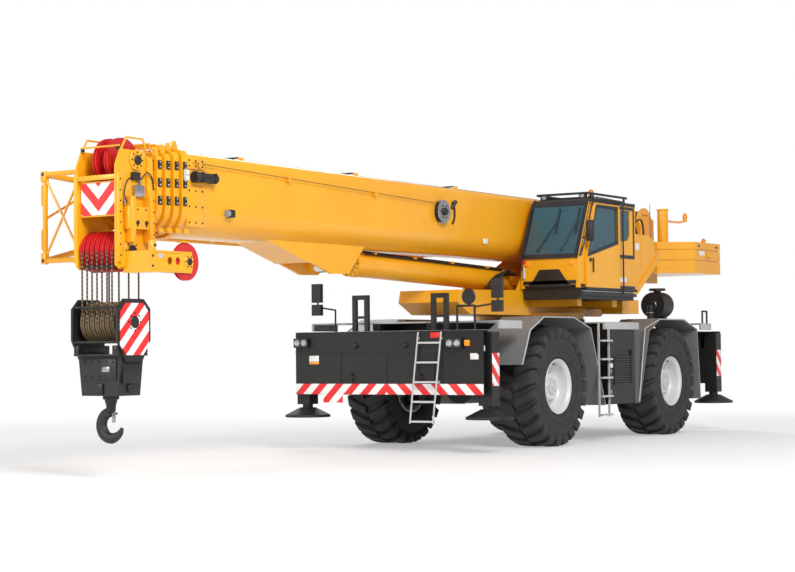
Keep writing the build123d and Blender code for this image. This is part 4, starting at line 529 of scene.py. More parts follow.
class Finishes:
    """Every finish of the machine, built once and handed out by name."""

    def __init__(self) -> None:
        """Builds the materials."""
        recipes = [
            PaintFinish("boom_yellow", (0.88, 0.40, 0.007), (0.80, 0.33, 0.006)),
            # This darker copy of boom_yellow is painted shade: the colour of the yellow frame's shaded underside. No
            # node or piece uses it.
            PaintFinish("painted_shade_yellow", (0.84, 0.32, 0.006), (0.74, 0.26, 0.005)),
            PaintFinish("carrier_black", (0.006, 0.006, 0.006), (0.010, 0.010, 0.009), 0.50, 0.05, 0.06),
            PaintFinish("fender_grey", (0.20, 0.20, 0.20), (0.16, 0.16, 0.16), 0.5, 0.1, 0.1, 0.0, 0.1),
            PaintFinish("edge_grey", (0.50, 0.51, 0.51), (0.42, 0.43, 0.43), 0.5, 0.1, 0.1, 0.15),
            PaintFinish("rim_silver", (0.70, 0.70, 0.69), (0.60, 0.60, 0.60), 0.38, 0.25, 0.08, 0.15, 0.05),
            PaintFinish("ladder_silver", (0.62, 0.63, 0.63), (0.52, 0.53, 0.53), 0.4, 0.1, 0.06, 0.4),
            PaintFinish("sheave_red", (0.60, 0.012, 0.016), (0.44, 0.008, 0.012), 0.3, 0.3, 0.05),
            PaintFinish("block_black", (0.010, 0.010, 0.010), (0.016, 0.015, 0.015), 0.48, 0.10, 0.12),
            PaintFinish("sign_white", (0.82, 0.82, 0.80), (0.72, 0.72, 0.70), 0.4, 0.2, 0.03),
            RubberFinish("tyre_rubber"),
            RubberFinish("hose_rubber", (0.012, 0.012, 0.013), (0.03, 0.03, 0.03), 0.5),
            MetalFinish("cast_black", (0.030, 0.029, 0.028), 0.5, 40.0, 0.3, 0.3),
            MetalFinish("polished_rod", (0.78, 0.78, 0.80), 0.14, 90.0, 0.03),
            MetalFinish("bright_steel", (0.55, 0.55, 0.56), 0.3, 80.0, 0.1),
            MetalFinish("rope_drum", (0.20, 0.16, 0.12), 0.45, 80.0, 0.2, 0.6),
            PlasticFinish("black_plastic", (0.014, 0.014, 0.015)),
            PlasticFinish("grey_plastic", (0.10, 0.10, 0.105)),
            PlasticFinish("sheave_nylon", (0.16, 0.115, 0.060), 0.35, 0.05),
            PlasticFinish("amber_plastic", (0.95, 0.30, 0.01), 0.25, 0.02),
            PlasticFinish("red_plastic", (0.75, 0.02, 0.015), 0.25, 0.02),
            GlassFinish("cab_glass_tint", (0.10, 0.26, 0.33), 0.70),
            GlassFinish("lamp_lens", (0.88, 0.92, 0.95), 0.7, 0.06),
            GlassFinish("amber_lens", (1.0, 0.34, 0.02), 0.5, 0.1),
            GlassFinish("red_lens", (0.9, 0.02, 0.02), 0.5, 0.1),
            RopeFinish("wire_rope"),
            TreadPlateFinish("tread_plate"),
            FabricFinish("seat_cloth", (0.018, 0.019, 0.022)),
            StripeFinish("stripes_front", StripePattern.PEAK_UP, 0.30),
            StripeFinish("stripes_board", StripePattern.PEAK_DOWN, 0.30, 0.2),
            StripeFinish("stripes_side", StripePattern.RISING_FORWARD, 0.28),
            StripeFinish("stripes_block", StripePattern.FALLING_FORWARD, 0.26),
            FloorFinish(),
        ]
        self.made = {recipe.name: recipe.build() for recipe in recipes}

    def __getitem__(self, name: str) -> bpy.types.Material:
        """The material of that name."""
        return self.made[name]


# Meshes

@dataclass
class Shell:
    """Points and faces of one mesh, kept as arrays until it becomes an object."""

    points: np.ndarray
    faces: list = field(default_factory=list)

    def moved(self, offset: Sequence[float]) -> "Shell":
        """A copy shifted by offset."""
        return Shell(self.points + np.asarray(offset), self.faces)

    def mirrored(self) -> "Shell":
        """A copy mirrored across the machine's middle plane, with its faces turned back outwards."""
        return Shell(self.points * np.array([1.0, -1.0, 1.0]), [list(reversed(face)) for face in self.faces])


def join_shells(shells: Iterable[Shell]) -> Shell:
    """Puts several shells into one.

    Args:
        shells: The shells to gather.

    Returns:
        One shell that holds them all.
    """
    points, faces, start = [], [], 0
    for shell in shells:
        points.append(shell.points)
        faces.extend([[index + start for index in face] for face in shell.faces])
        start += len(shell.points)
    return Shell(np.concatenate(points), faces)


def grid_faces(rows: int, columns: int, wrap_rows: bool = False, wrap_columns: bool = False) -> np.ndarray:
    """Quads of a grid of points stored row by row.

    Args:
        rows: Points along the first parameter.
        columns: Points along the second parameter.
        wrap_rows: True where the last row joins the first.
        wrap_columns: True where the last column joins the first.

    Returns:
        An array of four point numbers a face.
    """
    i, j = np.meshgrid(np.arange(rows if wrap_rows else rows - 1),
                       np.arange(columns if wrap_columns else columns - 1), indexing="ij")
    i2, j2 = (i + 1) % rows, (j + 1) % columns
    return np.stack([i * columns + j, i * columns + j2, i2 * columns + j2, i2 * columns + j], axis=-1).reshape(-1, 4)


def axis_frame(axis: Sequence[float]) -> tuple[np.ndarray, np.ndarray, np.ndarray]:
    """Two unit vectors square to an axis, and the axis itself.

    Args:
        axis: The direction, of any length.

    Returns:
        Unit vectors u, v and w with u cross v = w, and w along the axis.
    """
    w = np.asarray(axis, float) / np.linalg.norm(axis)
    helper = np.array([0.0, 0.0, 1.0]) if abs(w[2]) < 0.9 else np.array([1.0, 0.0, 0.0])
    u = np.cross(helper, w)
    u /= np.linalg.norm(u)
    return u, np.cross(w, u), w


def lathe(profile: Sequence[Sequence[float]], centre: Sequence[float], axis: Sequence[float],
          steps: int = 48) -> Shell:
    """Turns a profile about an axis.

    The point at (t, a) is centre + t along the axis + r (cos a, sin a) across it, for each pair
    (t, r) of the profile. A profile that starts and ends on the axis closes itself.

    Args:
        profile: Pairs of distance along the axis and radius.
        centre: Where the profile's zero lies.
        axis: The axis's direction.
        steps: Points round the axis.

    Returns:
        The turned shell.
    """
    u, v, w = axis_frame(axis)
    pairs = np.asarray(profile, float)
    angle = np.arange(steps) * (2.0 * math.pi / steps)
    ring = np.cos(angle)[:, None] * u + np.sin(angle)[:, None] * v
    points = (np.asarray(centre)[None, None] + pairs[:, 0][:, None, None] * w
              + pairs[:, 1][:, None, None] * ring[None])
    faces = grid_faces(len(pairs), steps, False, True)[:, ::-1].tolist()
    return Shell(points.reshape(-1, 3), faces)


def smooth_route(points: Sequence[Sequence[float]], density: int = 10) -> np.ndarray:
    """Samples a Catmull-Rom curve through the given points.

    Between two points the curve is the cubic whose slope at each is half the step from the point
    before to the point after.

    Args:
        points: Places the curve goes through.
        density: Samples between two of them.

    Returns:
        The sampled places.
    """
    p = np.asarray(points, float)
    padded = np.concatenate([2 * p[:1] - p[1:2], p, 2 * p[-1:] - p[-2:-1]])
    t = np.linspace(0.0, 1.0, density, endpoint=False)[None, :, None]
    a, b, c, d = (padded[k:len(padded) - 3 + k][:, None, :] for k in range(4))
    curve = 0.5 * (2 * b + (c - a) * t + (2 * a - 5 * b + 4 * c - d) * t ** 2 + (3 * b - a - 3 * c + d) * t ** 3)
    return np.concatenate([curve.reshape(-1, 3), p[-1:]])


def sweep(path: Sequence[Sequence[float]], section: np.ndarray, up: Sequence[float] = (0, 0, 1)) -> Shell:
    """Carries a closed section along a path and caps its ends.

    At each point the section's first coordinate lies along side = tangent x up and its second
    along side x tangent.

    Args:
        path: Points of the path.
        section: Pairs (across, up) round the section, counter-clockwise.
        up: A direction that the path never runs along.

    Returns:
        The swept shell.
    """
    p = np.asarray(path, float)
    tangent = np.gradient(p, axis=0)
    tangent /= np.linalg.norm(tangent, axis=1)[:, None]
    side = np.cross(tangent, np.asarray(up, float)[None])
    side /= np.maximum(np.linalg.norm(side, axis=1), 1e-9)[:, None]
    over = np.cross(side, tangent)
    ring = section[:, 0][None, :, None] * side[:, None] + section[:, 1][None, :, None] * over[:, None]
    points = (p[:, None] + ring).reshape(-1, 3)
    count = len(section)
    faces = grid_faces(len(p), count, False, True).tolist()
    faces.append(list(range(count))[::-1])
    faces.append(list(range((len(p) - 1) * count, len(p) * count)))
    return Shell(points, [face[::-1] for face in faces])


def round_section(radius: float, sides: int = 10) -> np.ndarray:
    """A circle as a section."""
    angle = np.arange(sides) * (2.0 * math.pi / sides)
    return radius * np.stack([np.cos(angle), np.sin(angle)], axis=1)


def tube(points: Sequence[Sequence[float]], radius: float, up: Sequence[float] = (0, 0, 1),
         smooth: bool = True, sides: int = 10) -> Shell:
    """A round tube or hose through the given points.

    Args:
        points: Places the tube goes through.
        radius: The tube's radius.
        up: A direction that the tube never runs along.
        smooth: False to run straight from point to point.
        sides: Points round the tube.

    Returns:
        The tube.
    """
    return sweep(smooth_route(points) if smooth else points, round_section(radius, sides), up)


def prism(outline: np.ndarray, start: np.ndarray, u: np.ndarray, v: np.ndarray, depth: np.ndarray) -> Shell:
    """An outline given a thickness.

    The point (a, b) of the outline lies at start + a u + b v, and again shifted by depth.

    Args:
        outline: Pairs round the outline.
        start: The outline's zero.
        u: The outline's first direction.
        v: The outline's second direction.
        depth: The thickness as a vector, along u x v.

    Returns:
        The closed prism.
    """
    base = start[None] + outline[:, :1] * u[None] + outline[:, 1:2] * v[None]
    points = np.concatenate([base, base + depth[None]])
    count = len(outline)
    around = np.arange(count)
    after = (around + 1) % count
    faces = np.stack([around, after, after + count, around + count], axis=1).tolist()
    faces.append(around[::-1].tolist())
    faces.append((around + count).tolist())
    return Shell(points, faces)


def rounded_outline(width: float, height: float, radius: float, steps: int = 5) -> np.ndarray:
    """A rectangle about zero with rounded corners, counter-clockwise.

    Args:
        width: Its size along the first direction.
        height: Its size along the second.
        radius: The corners' radius.
        steps: Points in each corner.

    Returns:
        The outline.
    """
    angle = np.linspace(0.0, math.pi / 2.0, steps)
    arc = radius * np.stack([np.cos(angle), np.sin(angle)], axis=1)
    corners = []
    for quarter, (sx, sy) in enumerate(((1, 1), (-1, 1), (-1, -1), (1, -1))):
        turn = quarter * math.pi / 2.0
        spin = np.array([[math.cos(turn), math.sin(turn)], [-math.sin(turn), math.cos(turn)]])
        corners.append(arc @ spin + np.array([sx * (width / 2 - radius), sy * (height / 2 - radius)]))
    return np.concatenate(corners)


def pad_box(low: Sequence[float], high: Sequence[float], radius: float, density: int = 4) -> Shell:
    """A box with rounded edges.

    Each face is a grid. A point of the sharp box is pulled to the inner box, smaller by the
    radius, and pushed out again by the radius along the way to where it was.

    Args:
        low: The lowest corner.
        high: The highest corner.
        radius: The edges' radius.
        density: Points across each rounded edge.

    Returns:
        The closed box.
    """
    low, high = np.asarray(low, float), np.asarray(high, float)
    half = (high - low) / 2
    radius = min(radius, half.min() * 0.98)
    steps = np.array([0.0, 0.29, 0.62, 1.0]) if density == 4 else np.linspace(0.0, 1.0, density)
    shells = []
    for axis in range(3):
        first, second = (axis + 1) % 3, (axis + 2) % 3
        lines = []
        for other in (first, second):
            edge = radius * steps
            lines.append(np.concatenate([-half[other] + edge, (half[other] - edge)[::-1]]))
        a, b = np.meshgrid(lines[0], lines[1], indexing="ij")
        for sign in (1, -1):
            points = np.zeros((a.size, 3))
            points[:, first], points[:, second], points[:, axis] = a.ravel(), b.ravel(), sign * half[axis]
            inner = np.clip(points, -(half - radius), half - radius)
            away = points - inner
            away /= np.maximum(np.linalg.norm(away, axis=1), 1e-9)[:, None]
            faces = grid_faces(len(lines[0]), len(lines[1]))
            faces = faces[:, ::-1] if sign > 0 else faces
            shells.append(Shell(inner + radius * away + (low + high) / 2, faces.tolist()))
    return join_shells(shells)


def bolt_row(centres: np.ndarray, axis: Sequence[float], radius: float, height: float, sides: int = 6) -> Shell:
    """Bolt heads with a chamfered top, one at each centre.

    Each head is three rings: the foot and the shoulder at the full radius, and the top at 0.78
    of it, closed by a face.

    Args:
        centres: One row a bolt.
        axis: The way the heads point.
        radius: Half the size across corners.
        height: How far the heads stand out.
        sides: Corners of a head.

    Returns:
        All heads as one shell.
    """
    u, v, w = axis_frame(axis)
    angle = np.arange(sides) * (2.0 * math.pi / sides)
    ring = np.cos(angle)[:, None] * u + np.sin(angle)[:, None] * v
    rings = np.concatenate([radius * ring, radius * ring + 0.8 * height * w, 0.78 * radius * ring + height * w])
    centres = np.atleast_2d(centres)
    points = (centres[:, None] + rings[None]).reshape(-1, 3)
    local = grid_faces(3, sides, False, True)
    size = 3 * sides
    starts = (np.arange(len(centres)) * size)[:, None, None]
    faces = (local[None] + starts).reshape(-1, 4).tolist()
    top = (np.arange(2 * sides, 3 * sides)[None] + starts[:, 0]).tolist()
    foot = (np.arange(sides)[None, ::-1] + starts[:, 0]).tolist()
    return Shell(points, faces + top + foot)


def ring_places(centre: Sequence[float], axis: Sequence[float], radius: float, count: int,
                phase: float = 0.0) -> np.ndarray:
    """Evenly spaced places on a circle.

    Args:
        centre: The circle's middle.
        axis: The circle's axis.
        radius: Its radius.
        count: How many places.
        phase: The first one's share of a step.

    Returns:
        One row a place.
    """
    u, v, _ = axis_frame(axis)
    angle = (np.arange(count) + phase) * (2.0 * math.pi / count)
    return np.asarray(centre)[None] + radius * (np.cos(angle)[:, None] * u + np.sin(angle)[:, None] * v)


def perforated_sheet(width: float, height: float, pitch: float, hole: float, start: np.ndarray,
                     u: np.ndarray, v: np.ndarray, depth: np.ndarray) -> Shell:
    """A sheet pierced by round holes in square cells.

    Each cell is a ring of eight quads between a square, sampled at its corners and edge
    middles, and a circle of the hole's radius, with a short wall down to the sheet's depth.

    Args:
        width: The sheet's size along u.
        height: Its size along v.
        pitch: The cells' size.
        hole: The holes' radius.
        start: The sheet's lower corner.
        u: Its first direction.
        v: Its second direction.
        depth: How deep the holes' walls go.

    Returns:
        The pierced sheet.
    """
    columns, rows = int(width / pitch), int(height / pitch)
    angle = np.arange(8) * (math.pi / 4)
    square = np.stack([np.cos(angle), np.sin(angle)], axis=1)
    square /= np.abs(square).max(axis=1)[:, None]
    rim = hole * np.stack([np.cos(angle), np.sin(angle)], axis=1)
    cell = np.concatenate([square * pitch / 2, rim])
    i, j = np.meshgrid(np.arange(columns) + 0.5, np.arange(rows) + 0.5, indexing="ij")
    middle = np.stack([i.ravel(), j.ravel()], axis=1) * pitch
    flat = middle[:, None] + cell[None]
    face_points = start + flat[..., :1] * u + flat[..., 1:2] * v
    deep = face_points[:, 8:] + depth
    points = np.concatenate([face_points, deep], axis=1).reshape(-1, 3)
    local = grid_faces(3, 8, False, True)
    starts = (np.arange(len(middle)) * 24)[:, None, None]
    return Shell(points, (local[None] + starts).reshape(-1, 4).tolist())


def make_piece(name: str, shell: Shell, material: bpy.types.Material, body: str,
               crease: float = 35.0, merge: bool = False) -> bpy.types.Object:
    """Turns a shell into an object, dresses it and puts it on a body.

    Args:
        name: The piece's name.
        shell: Its points and faces.
        material: Its finish.
        body: The body it rides on.
        crease: Edges sharper than this, in degrees, stay sharp.
        merge: True to weld doubled points and turn the faces outwards.

    Returns:
        The new object.
    """
    mesh = bpy.data.meshes.new(name)
    mesh.from_pydata(shell.points.tolist(), [], shell.faces)
    if merge:
        weld(mesh)
    mesh.update()
    mesh.shade_smooth()
    mesh.set_sharp_from_angle(angle=math.radians(crease))
    mesh.materials.append(material)
    piece = bpy.data.objects.new(name, mesh)
    bpy.context.scene.collection.objects.link(piece)
    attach(piece, body)
    LOG.info("piece %s on %s: %d points", name, body, len(shell.points))
    return piece


def weld(mesh: bpy.types.Mesh) -> None:
    """Merges doubled points and turns every face outwards."""
    import bmesh
    work = bmesh.new()
    work.from_mesh(mesh)
    bmesh.ops.remove_doubles(work, verts=work.verts, dist=1e-5)
    bmesh.ops.recalc_face_normals(work, faces=work.faces)
    work.to_mesh(mesh)
    work.free()


@dataclass
class Repaint:
    """Gives each carried-over node the finish of the real piece."""

    finishes: Finishes
    nodes: dict[str, str] = field(default_factory=lambda: {
        "chassis_frame": "carrier_black", "outrigger_boxes": "carrier_black", "deck": "edge_grey",
        "fenders": "fender_grey", "side_lockers": "carrier_black", "ladders": "ladder_silver",
        "rails_and_mirrors": "black_plastic", "lamps": "black_plastic", "powertrain": "cast_black",
        "air_cleaner": "black_plastic", "axles": "carrier_black",
        "turntable": "boom_yellow", "counterweight": "boom_yellow", "winches": "boom_yellow",
        "tail_unit": "boom_yellow", "cab_base": "black_plastic", "cab_walls": "boom_yellow",
        "cab_roof": "black_plastic", "cab_glass": "cab_glass_tint", "cab_interior": "black_plastic",
        "cab_door": "boom_yellow", "door_glass": "cab_glass_tint", "boom_base": "boom_yellow",
        "jib": "boom_yellow", "boom_section_2": "boom_yellow", "boom_section_3": "boom_yellow",
        "boom_section_4": "boom_yellow", "boom_head": "boom_yellow", "head_sheaves": "sheave_red",
        "auxiliary_nose": "boom_yellow", "warning_board": "stripes_board", "lift_barrel": "boom_yellow",
        "lift_rod": "polished_rod", "hook_block": "block_black", "block_sheaves": "sheave_nylon",
        "rope_falls": "wire_rope", "hook": "cast_black",
    })
    corner_nodes: dict[str, str] = field(default_factory=lambda: {
        "knuckle": "cast_black", "rim": "rim_silver", "outrigger_beam": "carrier_black", "jack": "cast_black",
    })

    def apply(self) -> None:
        """Puts the finish on each node's object."""
        finish_of = dict(self.nodes)
        for stem, finish in self.corner_nodes.items():
            finish_of.update({f"{stem}_{corner}": finish for corner in CORNERS})
        for node, finish in finish_of.items():
            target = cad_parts.get(node)
            if target is None:
                LOG.warning("no node %s", node)
                continue
            target.data.materials.clear()
            target.data.materials.append(self.finishes[finish])


def block(x0: float, x1: float, y0: float, y1: float, z0: float, z1: float, radius: float = 0.006) -> Shell:
    """A chamfered box between two corners, from the front axle.

    Returns:
        The closed box.
    """
    return pad_box((min(x0, x1), min(y0, y1), min(z0, z1)), (max(x0, x1), max(y0, y1), max(z0, z1)), radius, 2)


def rod(start: Sequence[float], end: Sequence[float], radius: float, bevel: float = 0.004, sides: int = 20) -> Shell:
    """A round bar with bevelled ends.

    Args:
        start: The middle of its first end.
        end: The middle of its second end.
        radius: Its radius.
        bevel: The bevels' size.
        sides: Points round it.

    Returns:
        The closed bar.
    """
    start, end = np.asarray(start, float), np.asarray(end, float)
    length = float(np.linalg.norm(end - start))
    bevel = min(bevel, 0.4 * length, 0.4 * radius)
    profile = [(0, 0), (0, radius - bevel), (bevel, radius), (length - bevel, radius), (length, radius - bevel),
               (length, 0)]
    return lathe(profile, start, end - start, sides)


def ring(centre: Sequence[float], axis: Sequence[float], radius: float, thickness: float, sides: int = 36) -> Shell:
    """A round ring of round section about an axis.

    Returns:
        The closed ring.
    """
    angle = np.arange(11) * (2.0 * math.pi / 10)
    profile = np.stack([thickness * np.sin(angle), radius + thickness * np.cos(angle)], axis=1)
    return lathe(profile, centre, axis, sides)


def framed(outer: Sequence[Sequence[float]], inner: Sequence[Sequence[float]], start: Sequence[float],
           u: Sequence[float], v: Sequence[float], depth: Sequence[float]) -> Shell:
    """A flat frame between two outlines of as many points each, given a thickness.

    Args:
        outer: Pairs round the outside.
        inner: Pairs round the opening.
        start: The outlines' zero.
        u: Their first direction.
        v: Their second direction.
        depth: The thickness as a vector.

    Returns:
        The closed frame.
    """
    flat = np.concatenate([np.asarray(outer, float), np.asarray(inner, float)])
    base = np.asarray(start, float) + flat[:, :1] * np.asarray(u, float) + flat[:, 1:2] * np.asarray(v, float)
    count = len(outer)
    rings = np.stack([base[:count], base[count:], base[count:] + np.asarray(depth), base[:count] + np.asarray(depth)])
    return Shell(rings.reshape(-1, 3), grid_faces(4, count, True, True).tolist())


@dataclass
class Kit:
    """Gathers the shells of one sub-assembly and makes one piece of each finish and body."""

    finishes: Finishes
    name: str
    gathered: dict = field(default_factory=dict)

    def add(self, finish: str, body: str, *shells: Shell) -> None:
        """Adds shells given from the front axle.

        Args:
            finish: The finish's name.
            body: The body they ride on.
            shells: The shells.
        """
        self.gathered.setdefault((finish, body), []).extend(shells)

    def both(self, finish: str, body: str, *shells: Shell) -> None:
        """Adds shells and their mirror images on the other side."""
        self.add(finish, body, *shells, *[shell.mirrored() for shell in shells])

    def make(self) -> list[bpy.types.Object]:
        """Makes the pieces, with their faces turned outwards.

        Returns:
            One object for each finish and body.
        """
        return [
            make_piece(f"{self.name}_{body}_{finish}", join_shells(shells).moved((AXLE_SHIFT, 0, 0)),
                       self.finishes[finish], body, 35.0, True)
            for (finish, body), shells in self.gathered.items()
        ]


@dataclass
class Tyres:
    """The four earth-mover tyres, with bar lugs that wrap over both shoulders."""

    finishes: Finishes
    radius: float = TYRE_RADIUS
    half_width: float = 0.3675
    lugs: int = 23
    lug_width: float = 0.132
    lean: float = 0.17
    crown: tuple = ((0.018, 0.933), (0.10, 0.935), (0.20, 0.935), (0.290, 0.930), (0.342, 0.908), (0.362, 0.872),
                    (0.3665, 0.83), (0.358, 0.785))
    root: tuple = ((0.018, 0.878), (0.10, 0.880), (0.20, 0.876), (0.262, 0.866), (0.300, 0.842), (0.320, 0.815),
                   (0.334, 0.79), (0.341, 0.765))

    def carcass(self) -> Shell:
        """The smooth carcass about the wheel's centre, with its axis along Y.

        Returns:
            The closed ring of rubber.
        """
        half = [(0.0, 0.882), (0.12, 0.880), (0.22, 0.874), (0.275, 0.858), (0.312, 0.825), (0.335, 0.77),
                (0.352, 0.70), (0.357, 0.62), (0.350, 0.55), (0.332, 0.49), (0.31, 0.452), (0.288, 0.436),
                (0.285, 0.404), (0.26, 0.400), (0.0, 0.400)]
        profile = half + [(-t, r) for t, r in half[-2:0:-1]]
        ribs = [ring((0, side * y, 0), (0, 1, 0), r, 0.006, 72)
                for side in (1, -1) for y, r in ((0.3545, 0.655), (0.353, 0.565), (0.318, 0.462))]
        return join_shells([lathe(profile + profile[:1], (0, 0, 0), (0, 1, 0), 92), *ribs])

    def bars(self) -> Shell:
        """The lugs of both shoulders.

        Each station along a lug has four corners at angles turn + lean s +- w / 2r, at the crown's
        and the root's radius, where s runs from 0 at the middle to 1 at the shoulder.

        Returns:
            All lugs as one shell.
        """
        crown, root = np.asarray(self.crown), np.asarray(self.root)
        share = np.minimum(crown[:, 0] / self.half_width, 1.0)
        shells = []
        for side, phase in ((1, 0.0), (-1, 0.5)):
            turn = (np.arange(self.lugs) + phase) * (2.0 * math.pi / self.lugs)
            middle = turn[:, None] + self.lean * share[None] ** 1.3
            half = self.lug_width * (0.42 + 0.16 * share) / self.radius
            corners = []
            for pairs, grow, sign in ((crown, 1.0, -1), (crown, 1.0, 1), (root, 1.22, 1), (root, 1.22, -1)):
                angle = middle + sign * grow * half[None]
                corners.append(np.stack([pairs[None, :, 1] * np.cos(angle),
                                         np.broadcast_to(side * pairs[None, :, 0], angle.shape),
                                         pairs[None, :, 1] * np.sin(angle)], axis=-1))
            block_points = np.stack(corners, axis=2)
            stations = len(crown)
            local = grid_faces(stations, 4, False, True).tolist()
            local += [[0, 1, 2, 3], [4 * stations - 1, 4 * stations - 2, 4 * stations - 3, 4 * stations - 4]]
            for lug in block_points:
                shells.append(Shell(lug.reshape(-1, 3), local))
        return join_shells(shells)

    def build(self) -> None:
        """Puts one tyre on each wheel."""
        shell = join_shells([self.carcass(), self.bars()])
        for corner, (axle_x, side) in CORNERS.items():
            piece = make_piece(f"tread_{corner}", shell.moved(at(axle_x, side * WHEEL_Y, TYRE_RADIUS)),
                               self.finishes["tyre_rubber"], f"wheel_{corner}", 32.0, True)
            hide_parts(f"tyre_{corner}")


@dataclass
class Rims:
    """The four dished rims with their wheel nuts and hubs."""

    finishes: Finishes
    profile: tuple = ((0.12, 0.0), (0.12, 0.122), (-0.09, 0.122), (-0.09, 0.2), (0.07, 0.21), (0.07, 0.335),
                      (-0.27, 0.366), (-0.318, 0.405), (-0.318, 0.432), (-0.296, 0.432), (-0.285, 0.402),
                      (0.285, 0.402), (0.296, 0.430), (0.310, 0.432), (0.318, 0.424), (0.312, 0.408),
                      (0.290, 0.392), (0.270, 0.372), (0.20, 0.362), (0.135, 0.352), (0.112, 0.335),
                      (0.100, 0.30), (0.098, 0.225), (0.110, 0.215), (0.178, 0.205), (0.185, 0.196), (0.185, 0.0))

    def build(self) -> None:
        """Puts one rim on each wheel."""
        for corner, (axle_x, side) in CORNERS.items():
            centre = np.array([axle_x, side * WHEEL_Y, TYRE_RADIUS])
            axis = (0.0, side, 0.0)
            out = np.array(axis)
            kit = Kit(self.finishes, f"rim_{corner}")
            body = f"wheel_{corner}"
            nuts = bolt_row(ring_places(centre + 0.098 * out, axis, 0.262, 20), axis, 0.019, 0.030)
            studs = bolt_row(ring_places(centre + 0.128 * out, axis, 0.262, 20), axis, 0.010, 0.012, 8)
            kit.add("rim_silver", body, lathe(self.profile, centre, axis, 80), nuts, studs)
            cap = [(0.184, 0.0), (0.184, 0.125), (0.206, 0.120), (0.214, 0.105), (0.214, 0.05), (0.226, 0.045),
                   (0.226, 0.0)]
            kit.add("ladder_silver", body, lathe(cap, centre, axis, 40),
                    bolt_row(ring_places(centre + 0.184 * out, axis, 0.165, 12), axis, 0.014, 0.014),
                    bolt_row(ring_places(centre + 0.205 * out, axis, 0.088, 6), axis, 0.010, 0.010))
            stem = centre + np.array([0.0, 0.0, 0.345])
            kit.add("cast_black", body, rod(stem + 0.20 * out, stem + 0.262 * out, 0.009, 0.002, 8))
            pieces = kit.make()
            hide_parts(f"rim_{corner}")


